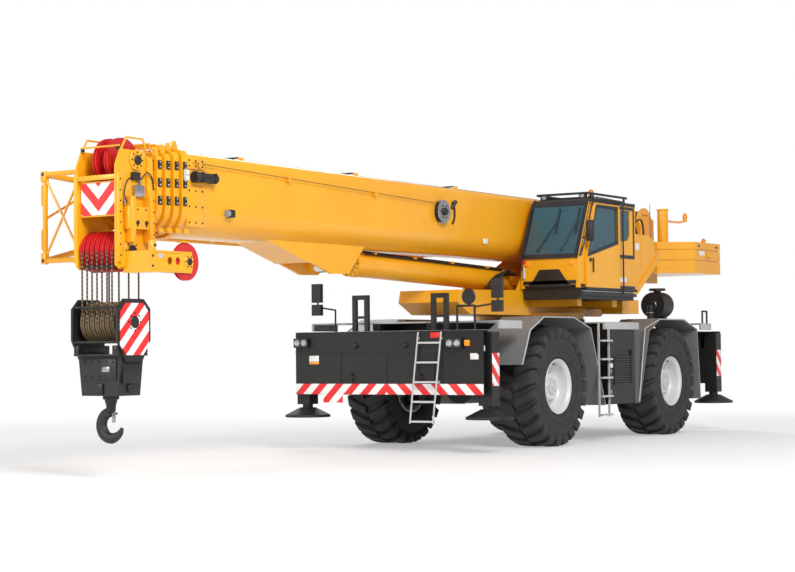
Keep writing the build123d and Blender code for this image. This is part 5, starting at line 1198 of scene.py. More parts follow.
@dataclass
class FrontAndRear:
    """What the outrigger boxes carry: hazard bands, lamps, plates, bolts and side stripes."""

    finishes: Finishes
    face: float = 2.326
    rear: float = -6.371

    def lamp_pod(self, kit: Kit, y: float, z: float) -> None:
        """A head lamp pod: two round lenses in bezels on the pod's face.

        Args:
            kit: Where the pieces go.
            y: The pod's middle across.
            z: Its height.
        """
        x = self.face + 0.070
        for side in (-0.065, 0.065):
            kit.add("bright_steel", "carrier", lathe([(-0.01, 0.0), (-0.01, 0.05), (0.002, 0.054), (0.008, 0.050),
                                                      (0.002, 0.042), (0.002, 0.0)], (x, y + side, z), (1, 0, 0), 24))
            kit.add("lamp_lens", "carrier", lathe([(0.003, 0.0), (0.003, 0.043), (0.010, 0.036), (0.016, 0.018),
                                                   (0.017, 0.0)], (x, y + side, z), (1, 0, 0), 24))

    def front(self, kit: Kit) -> None:
        """Dresses the front box."""
        x = self.face
        kit.add("stripes_front", "carrier", block(x, x + 0.006, -1.678, 1.678, 0.862, 1.022, 0.001),
                block(x, x + 0.006, -1.16, -0.80, 0.735, 0.861, 0.001))
        kit.add("block_black", "carrier", block(x, x + 0.012, -1.678, 1.678, 1.500, 1.516, 0.002),
                block(x, x + 0.010, -1.62, 1.62, 1.792, 1.810, 0.002),
                *[block(x, x + 0.010, y - 0.008, y + 0.008, 1.03, 1.50, 0.002) for y in (-0.84, 0.0, 0.84)])
        places = np.array([(x, y, z) for y in np.linspace(-1.60, 1.60, 9) for z in (1.055, 1.47)])
        kit.add("cast_black", "carrier", bolt_row(places, (1, 0, 0), 0.020, 0.012))
        self.lamp_pod(kit, 1.21, 1.62)
        self.lamp_pod(kit, -1.54, 1.65)
        kit.add("amber_plastic", "carrier", block(x, x + 0.055, 1.385, 1.465, 1.575, 1.665, 0.012),
                block(x, x + 0.055, -1.68, -1.66, 1.575, 1.665, 0.006))
        kit.add("sign_white", "carrier", block(x, x + 0.004, -1.42, -1.24, 1.36, 1.45, 0.001),
                block(x, x + 0.004, 1.46, 1.60, 1.38, 1.47, 0.001))
        kit.add("red_plastic", "carrier", block(x, x + 0.005, 0.78, 0.95, 1.70, 1.78, 0.001))
        kit.add("amber_plastic", "carrier", block(x, x + 0.004, -1.42, -1.24, 1.32, 1.355, 0.001))
        kit.add("cast_black", "carrier", *[
            lathe([(0, 0), (0, 0.05), (0.02, 0.045), (0.055, 0.028), (0.055, 0.0)], (x, y, 1.60), (1, 0, 0), 20)
            for y in (-0.55, 0.35)], *[ring((x + 0.03, y, 1.12), (0, 1, 0), 0.05, 0.013) for y in (-0.62, 0.62)])

    def back(self, kit: Kit) -> None:
        """Dresses the rear box."""
        x = self.rear
        kit.add("stripes_front", "carrier", block(x - 0.006, x, -1.678, 1.678, 0.862, 1.022, 0.001))
        kit.add("block_black", "carrier", block(x - 0.012, x, -1.678, 1.678, 1.500, 1.516, 0.002))
        places = np.array([(x, y, z) for y in np.linspace(-1.60, 1.60, 9) for z in (1.055, 1.47)])
        kit.add("cast_black", "carrier", bolt_row(places, (-1, 0, 0), 0.020, 0.012))
        face = x - 0.060
        for side in (1, -1):
            for offset, finish in ((-0.09, "red_lens"), (0.0, "amber_lens"), (0.09, "lamp_lens")):
                kit.add(finish, "carrier", lathe([(0.0, 0.0), (0.0, 0.040), (0.006, 0.036), (0.011, 0.0)],
                                                 (face, side * 1.45 + offset, 1.62), (-1, 0, 0), 20))
        kit.add("sign_white", "carrier", block(x - 0.004, x, -0.30, 0.30, 1.20, 1.32, 0.001))
        kit.add("cast_black", "carrier", ring((x - 0.05, 0.0, 1.12), (0, 1, 0), 0.06, 0.018),
                block(x - 0.05, x, -0.05, 0.05, 1.06, 1.18, 0.008))

    def corners(self, kit: Kit) -> None:
        """Dresses the beams' ends and the jacks."""
        for corner in CORNERS:
            side = 1.0 if corner.endswith("left") else -1.0
            front = corner.startswith("front")
            low, high = frame_box(f"outrigger_beam_{corner}")
            body = f"beam_{corner}"
            outer = high[1] if side > 0 else low[1]
            middle = (low[0] + high[0]) / 2
            kit.add("stripes_side", body, block(middle - 0.105, middle + 0.105, outer, outer + side * 0.004,
                                                0.99, 1.47, 0.001))
            face = high[0] if front else low[0]
            kit.add("cast_black", body, bolt_row(np.array([(middle + dx, outer, z) for dx in (-0.085, 0.085)
                                                           for z in (0.78, 0.90, 1.56, 1.70)]), (0, side, 0), 0.012,
                                                 0.008))
            out = 1.0 if front else -1.0
            kit.add("sign_white", body, block(face, face + out * 0.003, outer - side * 0.20, outer - side * 0.06, 1.50,
                                              1.58, 0.001))
            jlow, jhigh = frame_box(f"jack_{corner}")
            foot = np.array([(jlow[0] + jhigh[0]) / 2, (jlow[1] + jhigh[1]) / 2, 0.0])
            kit.add("cast_black", f"jack_{corner}", ring(foot + (0, 0, 0.532), (0, 0, 1), 0.338, 0.011, 48),
                    bolt_row(ring_places(foot + (0, 0, 0.556), (0, 0, 1), 0.22, 8), (0, 0, 1), 0.014, 0.01))

    def build(self) -> None:
        """Makes the pieces."""
        kit = Kit(self.finishes, "box_trim")
        self.front(kit)
        self.back(kit)
        self.corners(kit)
        kit.make()


def frame_box(node: str) -> tuple[np.ndarray, np.ndarray]:
    """A node's box at rest, from the front axle.

    Returns:
        Its lowest and highest corner.
    """
    low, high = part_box(node)
    shift = np.array([AXLE_SHIFT, 0.0, 0.0])
    return np.asarray(low, float) - shift, np.asarray(high, float) - shift


@dataclass
class DeckTrim:
    """Chequer plates, fender lips, step treads, locker grilles and the guards of the deck."""

    finishes: Finishes

    def fenders(self, kit: Kit) -> None:
        """Lips along the fenders' outer edges with their bolts."""
        for centre, legs in ((0.0, (1.190, 1.290, -1.560, 0.615)), (-WHEELBASE, (1.350, 0.615, -1.200, 0.615))):
            x0, z0, x1, z1 = legs
            knee = 1.810 if centre == 0.0 else 1.850
            front_knee = 0.930 if centre == 0.0 else 1.080
            crown = 0.480
            path = [(centre + x0, 1.690, z0), (centre + front_knee, 1.690, knee), (centre + crown, 1.690, 2.012),
                    (centre - 0.520, 1.690, 2.012), (centre - 1.080, 1.690, 1.842), (centre + x1, 1.690, z1)]
            kit.both("edge_grey", "carrier", tube(path, 0.012, (0, 1, 0), False, 8))
            spots = np.array([(centre + dx, 1.700, 1.985) for dx in np.linspace(-0.45, 0.42, 6)])
            kit.both("cast_black", "carrier", bolt_row(spots, (0, 1, 0), 0.010, 0.006))
            kit.both("tread_plate", "carrier", block(centre - 0.50, centre + 0.46, 1.02, 1.68, 2.020, 2.024, 0.001))

    def deck(self, kit: Kit) -> None:
        """Chequer plates on the deck and the two covers on the front box."""
        for x0, x1 in ((1.22, 1.85), (-2.83, -1.60), (-5.90, -5.42)):
            kit.both("tread_plate", "carrier", block(x0, x1, 0.98, 1.69, 1.950, 1.953, 0.001))
        kit.add("tread_plate", "carrier", block(0.90, 1.85, -0.93, 0.93, 1.950, 1.953, 0.001),
                block(-5.90, -3.30, -0.93, 0.93, 1.950, 1.953, 0.001))
        kit.add("tread_plate", "carrier", block(1.88, 2.30, -1.66, 1.66, 1.810, 1.814, 0.001))
        kit.add("black_plastic", "carrier", rod((2.085, 1.31, 2.305), (2.115, 1.31, 2.305), 0.118, 0.012, 32),
                rod((2.09, 1.31, 2.17), (2.09, 1.31, 2.22), 0.012))
        kit.both("edge_grey", "carrier", block(1.20, 1.862, 1.700, 1.704, 1.835, 1.948, 0.001),
                 block(-2.85, -1.58, 1.700, 1.704, 1.835, 1.948, 0.001),
                 block(-5.905, -5.43, 1.700, 1.704, 1.835, 1.948, 0.001))

    def lockers(self, kit: Kit) -> None:
        """Pierced sheets, hinges, latches and signs on the side lockers."""
        for side in (1, -1):
            sheet = perforated_sheet(0.62, 0.44, 0.040, 0.014, np.array([-2.60, side * 1.664, 0.93]),
                                     np.array([1.0, 0, 0]), np.array([0, 0, 1.0]), np.array([0, -side * 0.008, 0]))
            kit.add("black_plastic", "carrier", sheet)
            kit.add("carrier_black", "carrier", framed([(0, 0), (0.66, 0), (0.66, 0.48), (0, 0.48)],
                                                       [(0.02, 0.02), (0.64, 0.02), (0.64, 0.46), (0.02, 0.46)],
                                                       (-2.62, side * 1.660, 0.91), (1, 0, 0), (0, 0, 1),
                                                       (0, side * 0.012, 0)))
            kit.add("bright_steel", "carrier", *[block(-1.86, -1.82, side * 1.66, side * 1.675, z, z + 0.06, 0.004)
                                                 for z in (0.78, 1.12)])
            kit.add("sign_white", "carrier", block(-1.93, -1.83, side * 1.66, side * 1.663, 1.20, 1.27, 0.001))
            kit.add("bright_steel", "carrier", *[
                block(-1.68 + 0.03, -1.30 - 0.03, side * 1.70, side * 1.785, z, z + 0.012, 0.003)
                for z in np.arange(0.43, 1.70, 0.30)])

    def build(self) -> None:
        """Makes the pieces."""
        kit = Kit(self.finishes, "deck_trim")
        self.fenders(kit)
        self.deck(kit)
        self.lockers(kit)
        kit.make()


@dataclass
class CabTrim:
    """The cab's seat, console, window surrounds, wipers, mirror, lamps and handles."""

    finishes: Finishes
    middle: float = 1.08

    def seat(self) -> None:
        """The padded seat and the hard pieces of the interior, in place of the plain node."""
        y = self.middle
        pads = [
            ("seat_cushion", (-2.35, y - 0.25, 2.800), (-1.85, y + 0.25, 2.945), 0.05),
            ("seat_back", (-2.47, y - 0.24, 2.93), (-2.33, y + 0.24, 3.46), 0.05),
            ("head_rest", (-2.46, y - 0.14, 3.48), (-2.36, y + 0.14, 3.60), 0.04),
        ]
        for name, low, high, radius in pads:
            piece = make_piece(name, pad_box(at(*low), at(*high), radius), self.finishes["seat_cloth"],
                               "superstructure", 60.0, True)
        kit = Kit(self.finishes, "cab_inside")
        kit.add("black_plastic", "superstructure", block(-2.25, -1.95, y - 0.15, y + 0.15, 2.55, 2.80, 0.02),
                block(-2.30, -1.90, y - 0.36, y - 0.27, 2.80, 2.94, 0.02),
                block(-2.30, -1.90, y + 0.27, y + 0.36, 2.80, 2.94, 0.02),
                block(-1.25, -1.00, y - 0.25, y + 0.25, 2.55, 2.88, 0.03),
                rod((-1.15, y, 2.86), (-1.345, y, 3.17), 0.035), ring((-1.35, y, 3.19), (-0.53, 0, 0.85), 0.18, 0.016),
                rod((-1.35, y - 0.17, 3.19), (-1.35, y + 0.17, 3.19), 0.012),
                block(-1.20, -1.17, y - 0.43, y - 0.20, 3.00, 3.20, 0.01), rod((-1.16, y - 0.3, 2.88),
                                                                               (-1.18, y - 0.3, 3.0), 0.012))
        kit.add("grey_plastic", "superstructure", rod((-1.95, y - 0.315, 2.93), (-1.93, y - 0.315, 3.02), 0.018),
                rod((-1.95, y + 0.315, 2.93), (-1.93, y + 0.315, 3.02), 0.018))
        pieces = kit.make()
        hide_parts("cab_interior")

    def surrounds(self, kit: Kit) -> None:
        """Black frames round the windscreen, the door's window and the rear pane."""
        slope = np.array([-0.4200, 0.0, 0.9400])
        slope /= np.linalg.norm(slope)
        out = 0.006 * np.array([slope[2], 0.0, -slope[0]])
        start = np.array([-0.850, 0.56, 3.02])
        height = 0.985
        kit.add("black_plastic", "superstructure", framed(
            [(0, -0.05), (1.04, -0.05), (1.04, height), (0, height)],
            [(0.065, 0.03), (0.975, 0.03), (0.975, height - 0.085), (0.065, height - 0.085)],
            start, (0, 1, 0), slope, out))
        window = [(-1.095, 3.00), (-1.43, 3.865), (-2.215, 3.865), (-2.215, 3.245)]
        inner = [(-1.135, 3.05), (-1.455, 3.825), (-2.175, 3.825), (-2.175, 3.285)]
        kit.add("black_plastic", "door", framed(window, inner, (0, 1.646, 0), (1, 0, 0), (0, 0, 1), (0, 0.006, 0)))
        kit.add("black_plastic", "superstructure", framed(
            [(-2.30, 3.02), (-2.30, 3.89), (-2.93, 3.89), (-2.93, 3.02)],
            [(-2.34, 3.08), (-2.34, 3.84), (-2.88, 3.84), (-2.88, 3.08)],
            (0, 1.600, 0), (1, 0, 0), (0, 0, 1), (0, 0.005, 0)))
        kit.add("black_plastic", "superstructure", block(-0.850, -0.842, 0.60, 1.56, 2.56, 2.62, 0.002),
                block(-2.93, -0.93, 1.600, 1.606, 2.505, 2.56, 0.002))
        reach = start + slope * 0.10 + np.array([0.02, 0, 0])
        for y, lean in ((0.30, 0.26), (0.72, 0.20)):
            foot = reach + np.array([0.0, y, 0.0])
            tip = start + slope * 0.66 + np.array([0.022, y + lean, 0.0])
            kit.add("black_plastic", "superstructure", rod(foot, tip, 0.009, 0.002, 8),
                    rod(tip - slope * 0.26, tip + slope * 0.20, 0.012, 0.002, 8), rod(foot - (0.03, 0, 0), foot, 0.025))

    def outside(self, kit: Kit) -> None:
        """Mirror, handles, roof rack, beacon, work lamps and the engraved front vent."""
        kit.add("black_plastic", "superstructure", tube([(-1.02, 1.58, 3.30), (-0.98, 1.72, 3.34), (-0.97, 1.76, 3.52)],
                                                        0.012), block(-1.00, -0.95, 1.69, 1.83, 3.24, 3.58, 0.03),
                rod((-1.0, 1.58, 3.30), (-1.1, 1.58, 3.30), 0.02))
        kit.add("black_plastic", "door", block(-1.30, -1.27, 1.646, 1.668, 2.75, 2.99, 0.008),
                block(-1.23, -1.16, 1.646, 1.660, 2.92, 2.98, 0.006))
        kit.add("black_plastic", "superstructure", tube([(-1.02, 0.62, 3.00), (-0.815, 0.64, 3.02),
                                                         (-0.815, 0.64, 3.20)], 0.011, (0, 1, 0)))
        for y in (0.74, 1.44):
            kit.add("black_plastic", "superstructure", block(-1.42, -1.33, y - 0.06, y + 0.06, 3.965, 4.065, 0.012))
            kit.add("lamp_lens", "superstructure", rod((-1.335, y, 4.015), (-1.322, y, 4.015), 0.040))
        kit.add("black_plastic", "superstructure", rod((-1.62, 1.46, 3.96), (-1.62, 1.46, 4.02), 0.05))
        kit.add("amber_lens", "superstructure", lathe([(0, 0), (0, 0.048), (0.07, 0.044), (0.10, 0.03), (0.11, 0)],
                                                      (-1.62, 1.46, 4.02), (0, 0, 1), 24))
        bars = [rod((-1.36, y, 3.985), (-2.86, y, 3.985), 0.007, 0.002, 6) for y in np.linspace(0.70, 1.46, 12)]
        cross = [rod((x, 0.68, 3.993), (x, 1.48, 3.993), 0.007, 0.002, 6) for x in np.linspace(-2.84, -1.40, 14)]
        kit.add("black_plastic", "superstructure", *bars, *cross)
        nose = np.array([(-0.42, 2.52), (0.42, 2.52), (0.32, 2.60), (0.18, 2.80), (-0.18, 2.80), (-0.32, 2.60)])
        kit.add("black_plastic", "superstructure", prism(nose, np.array([-0.850, self.middle, 0.0]), np.array([0, 1.0, 0]),
                                                         np.array([0, 0, 1.0]), np.array([0.008, 0, 0])))
        kit.add("block_black", "superstructure", *[
            block(-0.843, -0.838, self.middle - 0.15, self.middle + 0.15, z, z + 0.012, 0.003)
            for z in np.arange(2.62, 2.79, 0.028)])
        guard = [(-2.35, 1.600, 3.93), (-2.35, 1.676, 3.955), (-2.35, 1.676, 2.45), (-2.35, 1.640, 2.43)]
        brow = [(-2.35, 1.676, 3.955), (-1.34, 1.676, 3.975), (-1.20, 1.676, 3.80), (-0.92, 1.676, 3.20),
                (-0.90, 1.600, 3.00)]
        kit.add("black_plastic", "superstructure", tube(guard, 0.013, (0.3, 0.9, 0.1), False),
                tube(brow, 0.013, (0, 1, 0), False),
                tube([(-1.30, 0.585, 3.97), (-1.17, 0.585, 3.80), (-0.83, 0.585, 3.10), (-0.83, 0.585, 2.80)], 0.013,
                     (0, 1, 0), False))
        kit.add("ladder_silver", "superstructure", rod((-0.83, 0.625, 2.66), (-0.83, 0.625, 2.84), 0.022))
        kit.add("amber_lens", "superstructure", rod((-0.83, 0.625, 2.84), (-0.83, 0.625, 2.90), 0.026))
        kit.add("red_lens", "superstructure", rod((-0.83, 0.625, 2.90), (-0.83, 0.625, 2.96), 0.026))
        kit.add("amber_plastic", "superstructure", block(-0.85, -0.835, 0.64, 0.72, 2.86, 2.92, 0.006),
                block(-0.85, -0.835, 1.44, 1.52, 2.86, 2.92, 0.006))
        kit.add("sign_white", "superstructure", block(-2.62, -2.34, 1.600, 1.603, 2.62, 2.70, 0.001))
        kit.add("black_plastic", "superstructure", framed(
            [(-0.905, 3.02), (-1.275, 3.89), (-1.36, 3.89), (-0.99, 3.02)],
            [(-0.925, 3.04), (-1.285, 3.87), (-1.345, 3.87), (-0.985, 3.04)],
            (0, 1.600, 0), (1, 0, 0), (0, 0, 1), (0, 0.004, 0)))
        kit.add("tread_plate", "superstructure", block(-2.80, -0.95, 1.60, 1.645, 2.44, 2.452, 0.003))

    def build(self) -> None:
        """Makes the pieces."""
        self.seat()
        kit = Kit(self.finishes, "cab_trim")
        self.surrounds(kit)
        self.outside(kit)
        kit.make()


@dataclass
class BoomTrim:
    """What the boom carries: ropes, guides, cable reel, collar pads, bolts and lamps."""

    finishes: Finishes
    collars: tuple = ((7.62, 0.498, "boom_base"), (7.74, 0.464, "boom_2"), (7.86, 0.430, "boom_3"),
                      (7.98, 0.396, "boom_4"))

    def top(self, kit: Kit) -> None:
        """The hoist ropes over the boom and the rollers that hold them."""
        body = "boom_base"
        for y in (-0.10, 0.10):
            kit.add("wire_rope", body, rod((-3.70, y, 4.066), (7.64, y, 4.066), ROPE_RADIUS, 0.002, 8))
        for x in (-3.2, 0.6, 3.4, 6.1):
            kit.add("boom_yellow", body, block(x - 0.05, x + 0.05, -0.21, -0.19, 4.015, 4.10),
                    block(x - 0.05, x + 0.05, 0.19, 0.21, 4.015, 4.10))
            kit.add("cast_black", body, rod((x, -0.19, 4.035), (x, 0.19, 4.035), 0.018),
                    rod((x, -0.19, 4.095), (x, 0.19, 4.095), 0.012))
        kit.add("boom_yellow", body, block(6.93, 7.52, -0.33, 0.33, 4.02, 4.040, 0.008),
                *[rod((x, y, 4.02), (x, y, 4.05), 0.03) for x in (7.05, 7.40) for y in (-0.28, 0.28)])

    def sides(self, kit: Kit) -> None:
        """The cable reel with its guide, the rolled cover, brackets, lamps and small plates."""
        body = "boom_base"
        reel = (1.50, 0.462, 3.63)
        kit.add("bright_steel", body, lathe([(0, 0), (0, 0.175), (0.012, 0.178), (0.014, 0.150), (0.020, 0.125),
                                             (0.070, 0.125), (0.074, 0.178), (0.086, 0.175), (0.086, 0.0)],
                                            reel, (0, 1, 0), 40))
        kit.add("black_plastic", body, lathe([(0.016, 0.122), (0.020, 0.160), (0.066, 0.160), (0.070, 0.122)],
                                             reel, (0, 1, 0), 40), rod((1.50, 0.545, 3.63), (1.50, 0.575, 3.63), 0.06))
        kit.add("cast_black", body, bolt_row(ring_places((1.50, 0.548, 3.63), (0, 1, 0), 0.10, 6), (0, 1, 0), 0.014,
                                             0.008))
        arc = [(1.18 - 0.10 * math.cos(a), 0.470, 3.63 + 0.17 * math.sin(a)) for a in np.linspace(-1.3, 1.3, 14)]
        kit.add("black_plastic", body, tube(arc, 0.017, (0, 1, 0), False), rod((1.16, 0.46, 3.70), (1.08, 0.50, 3.82),
                                                                               0.030))
        kit.add("wire_rope", body, rod((1.68, 0.505, 3.75), (7.45, 0.505, 3.90), 0.005, 0.001, 6))
        kit.add("boom_yellow", body, *[block(x, x + 0.05, 0.46, 0.515, z - 0.03, z + 0.03) for x, z in
                                       ((3.30, 3.775), (5.40, 3.83), (7.30, 3.875))])
        kit.add("black_plastic", body, rod((7.02, 0.525, 3.72), (7.42, 0.525, 3.72), 0.062, 0.02, 24),
                block(7.08, 7.11, 0.46, 0.592, 3.655, 3.785, 0.008), block(7.33, 7.36, 0.46, 0.592, 3.655, 3.785, 0.008),
                rod((7.42, 0.525, 3.72), (7.47, 0.525, 3.72), 0.075, 0.01, 24))
        kit.add("lamp_lens", body, rod((6.74, 0.50, 3.30), (6.80, 0.50, 3.30), 0.045))
        kit.add("black_plastic", body, block(6.66, 6.75, 0.455, 0.55, 3.25, 3.35, 0.012))
        for side in (1, -1):
            kit.add("boom_yellow", body, block(7.20, 7.56, side * 0.46, side * 0.478, 3.10, 3.60, 0.006),
                    block(7.20, 7.56, side * 0.46, side * 0.478, 3.82, 3.97, 0.006))
            spots = np.array([(x, side * 0.478, z) for x in (7.25, 7.38, 7.51) for z in (3.15, 3.35, 3.55, 3.86, 3.93)])
            kit.add("cast_black", body, bolt_row(spots, (0, side, 0), 0.013, 0.009))
            kit.add("boom_yellow", body, rod((-3.60, side * 0.46, 3.25), (-3.60, side * 0.482, 3.25), 0.16, 0.008, 32))
            kit.add("sign_white", body, block(0.05, 0.20, side * 0.46, side * 0.463, 3.20, 3.28, 0.001))

    def collar_pads(self, kit: Kit) -> None:
        """Wear pads, adjusting screws and the odd bracket on each collar."""
        for x, y, body in self.collars:
            for side in (1, -1):
                for z in (3.40, 3.62, 3.84):
                    kit.add("black_plastic", body, block(x - 0.035, x + 0.035, side * y, side * (y + 0.012),
                                                         z - 0.055, z + 0.055, 0.004))
                    kit.add("bright_steel", body, bolt_row(np.array([(x, side * (y + 0.012), z - 0.03),
                                                                     (x, side * (y + 0.012), z + 0.03)]),
                                                           (0, side, 0), 0.013, 0.012))
                kit.add("boom_yellow", body, block(x - 0.05, x + 0.05, side * 0.30, side * 0.34, 4.02, 4.06, 0.006),
                        block(x - 0.045, x + 0.045, side * (y - 0.01), side * (y + 0.03), 3.00 + 0.0, 3.06, 0.006))
            kit.add("boom_yellow", body, rod((x, -0.24, 4.105), (x, 0.24, 4.105), 0.014, 0.003, 10),
                    *[rod((x, y0, 4.02), (x, y0, 4.105), 0.014, 0.003, 10) for y0 in (-0.24, 0.24)])
        kit.add("ladder_silver", "boom_base", block(7.56, 7.66, 0.512, 0.53, 3.66, 3.80, 0.004))
        kit.add("sign_white", "boom_base", *[rod((7.61, 0.53, z), (7.61, 0.545, z), 0.030) for z in (3.695, 3.765)])

    def build(self) -> None:
        """Makes the pieces."""
        kit = Kit(self.finishes, "boom_trim")
        self.top(kit)
        self.sides(kit)
        self.collar_pads(kit)
        kit.make()


@dataclass
class HeadTrim:
    """The boom head's boxes, pin caps, bolts, sensors and guards, and the nose's trim."""

    finishes: Finishes

    def build(self) -> None:
        """Makes the pieces."""
        kit = Kit(self.finishes, "head_trim")
        body = "boom_5"
        kit.add("boom_yellow", body, block(8.13, 8.58, 0.329, 0.430, 3.02, 3.30, 0.012),
                block(8.16, 8.22, 0.329, 0.452, 2.86, 3.42, 0.008), block(8.48, 8.54, 0.329, 0.452, 2.86, 3.42, 0.008),
                block(8.62, 8.70, 0.329, 0.36, 2.62, 3.70, 0.006), block(8.02, 8.08, 0.329, 0.36, 2.90, 3.60, 0.006),
                block(8.62, 8.70, -0.36, -0.329, 2.62, 3.70, 0.006), block(8.02, 8.08, -0.36, -0.329, 2.90, 3.60, 0.006),
                block(8.665, 8.698, -0.30, 0.30, 3.62, 3.68, 0.006))
        for side in (1, -1):
            for x, z, size in ((8.335, 3.87, 0.095), (8.44, 2.76, 0.105)):
                kit.add("boom_yellow", body, rod((x, side * 0.328, z), (x, side * 0.348, z), size + 0.035, 0.006, 28))
                kit.add("cast_black", body, rod((x, side * 0.348, z), (x, side * 0.372, z), size - 0.035, 0.006, 28),
                        bolt_row(ring_places((x, side * 0.348, z), (0, 1, 0), size, 8), (0, side, 0), 0.012, 0.009))
            spots = np.array([(x, side * 0.36, z) for x in (8.66,) for z in np.linspace(2.70, 3.62, 8)])
            kit.add("cast_black", body, bolt_row(spots, (0, side, 0), 0.011, 0.008))
            spots = np.array([(8.05, side * 0.36, z) for z in np.linspace(2.97, 3.53, 5)])
            kit.add("cast_black", body, bolt_row(spots, (0, side, 0), 0.011, 0.008))
            kit.add("cast_black", body, rod((8.62, side * 0.30, 4.00), (8.62, side * 0.26, 4.00), 0.02))
            kit.add("boom_yellow", body, tube([(8.12, side * 0.315, 3.98), (8.20, side * 0.315, 4.14),
                                               (8.50, side * 0.315, 4.14), (8.60, side * 0.315, 3.98)], 0.014,
                                              (0, 1, 0), False))
        kit.add("boom_yellow", body, *[rod((x, -0.315, z), (x, 0.315, z), 0.012) for x, z in
                                       ((8.12, 4.0), (8.62, 4.03))])
        kit.add("bright_steel", body, block(8.24, 8.42, 0.329, 0.385, 3.42, 3.56, 0.010),
                rod((8.30, 0.36, 3.56), (8.30, 0.36, 3.63), 0.018), rod((8.58, 0.36, 3.30), (8.58, 0.36, 3.40), 0.014))
        kit.add("black_plastic", body, block(8.30, 8.44, 0.329, 0.375, 3.62, 3.72, 0.010),
                tube([(8.30, 0.36, 3.62), (8.22, 0.40, 3.72), (8.10, 0.38, 3.66), (8.06, 0.37, 3.52)], 0.009, (0, 1, 0)),
                tube([(8.44, 0.36, 3.66), (8.56, 0.38, 3.60), (8.60, 0.37, 3.44), (8.56, 0.38, 3.34)], 0.008, (0, 1, 0)),
                *[rod((8.35 + dx, 0.43, 3.10), (8.35 + dx, 0.445, 3.10), 0.028) for dx in (-0.08, 0.08)],
                rod((8.60, -0.27, 2.575), (8.60, 0.27, 2.575), 0.022), rod((8.20, -0.27, 2.575), (8.20, 0.27, 2.575),
                                                                           0.022))
        kit.add("cast_black", body, bolt_row(np.array([(x, 0.430, z) for x in (8.27, 8.43) for z in (3.06, 3.26)]),
                                             (0, 1, 0), 0.012, 0.009))
        centre = (7.93, 0.806, 2.63)
        kit.add("boom_yellow", body, rod(centre, (7.93, 0.822, 2.63), 0.085, 0.006, 28),
                block(8.05, 8.62, 0.806, 0.820, 2.725, 2.750, 0.004), block(8.05, 8.62, 0.806, 0.820, 2.490, 2.515, 0.004),
                block(7.90, 8.02, 0.70, 0.806, 2.86, 2.875, 0.004), block(8.52, 8.58, 0.72, 0.80, 2.75, 2.87, 0.010))
        kit.add("cast_black", body, rod((7.93, 0.822, 2.63), (7.93, 0.835, 2.63), 0.045, 0.005, 20),
                bolt_row(ring_places((7.93, 0.822, 2.63), (0, 1, 0), 0.066, 6), (0, 1, 0), 0.010, 0.008),
                bolt_row(np.array([(8.60, 0.808, z) for z in (2.56, 2.68)]), (0, 1, 0), 0.016, 0.012),
                rod((8.55, 0.70, 2.81), (8.55, 0.82, 2.81), 0.016))
        kit.add("ladder_silver", body, block(8.40, 8.50, 0.806, 0.812, 2.66, 2.71, 0.002))
        kit.make()


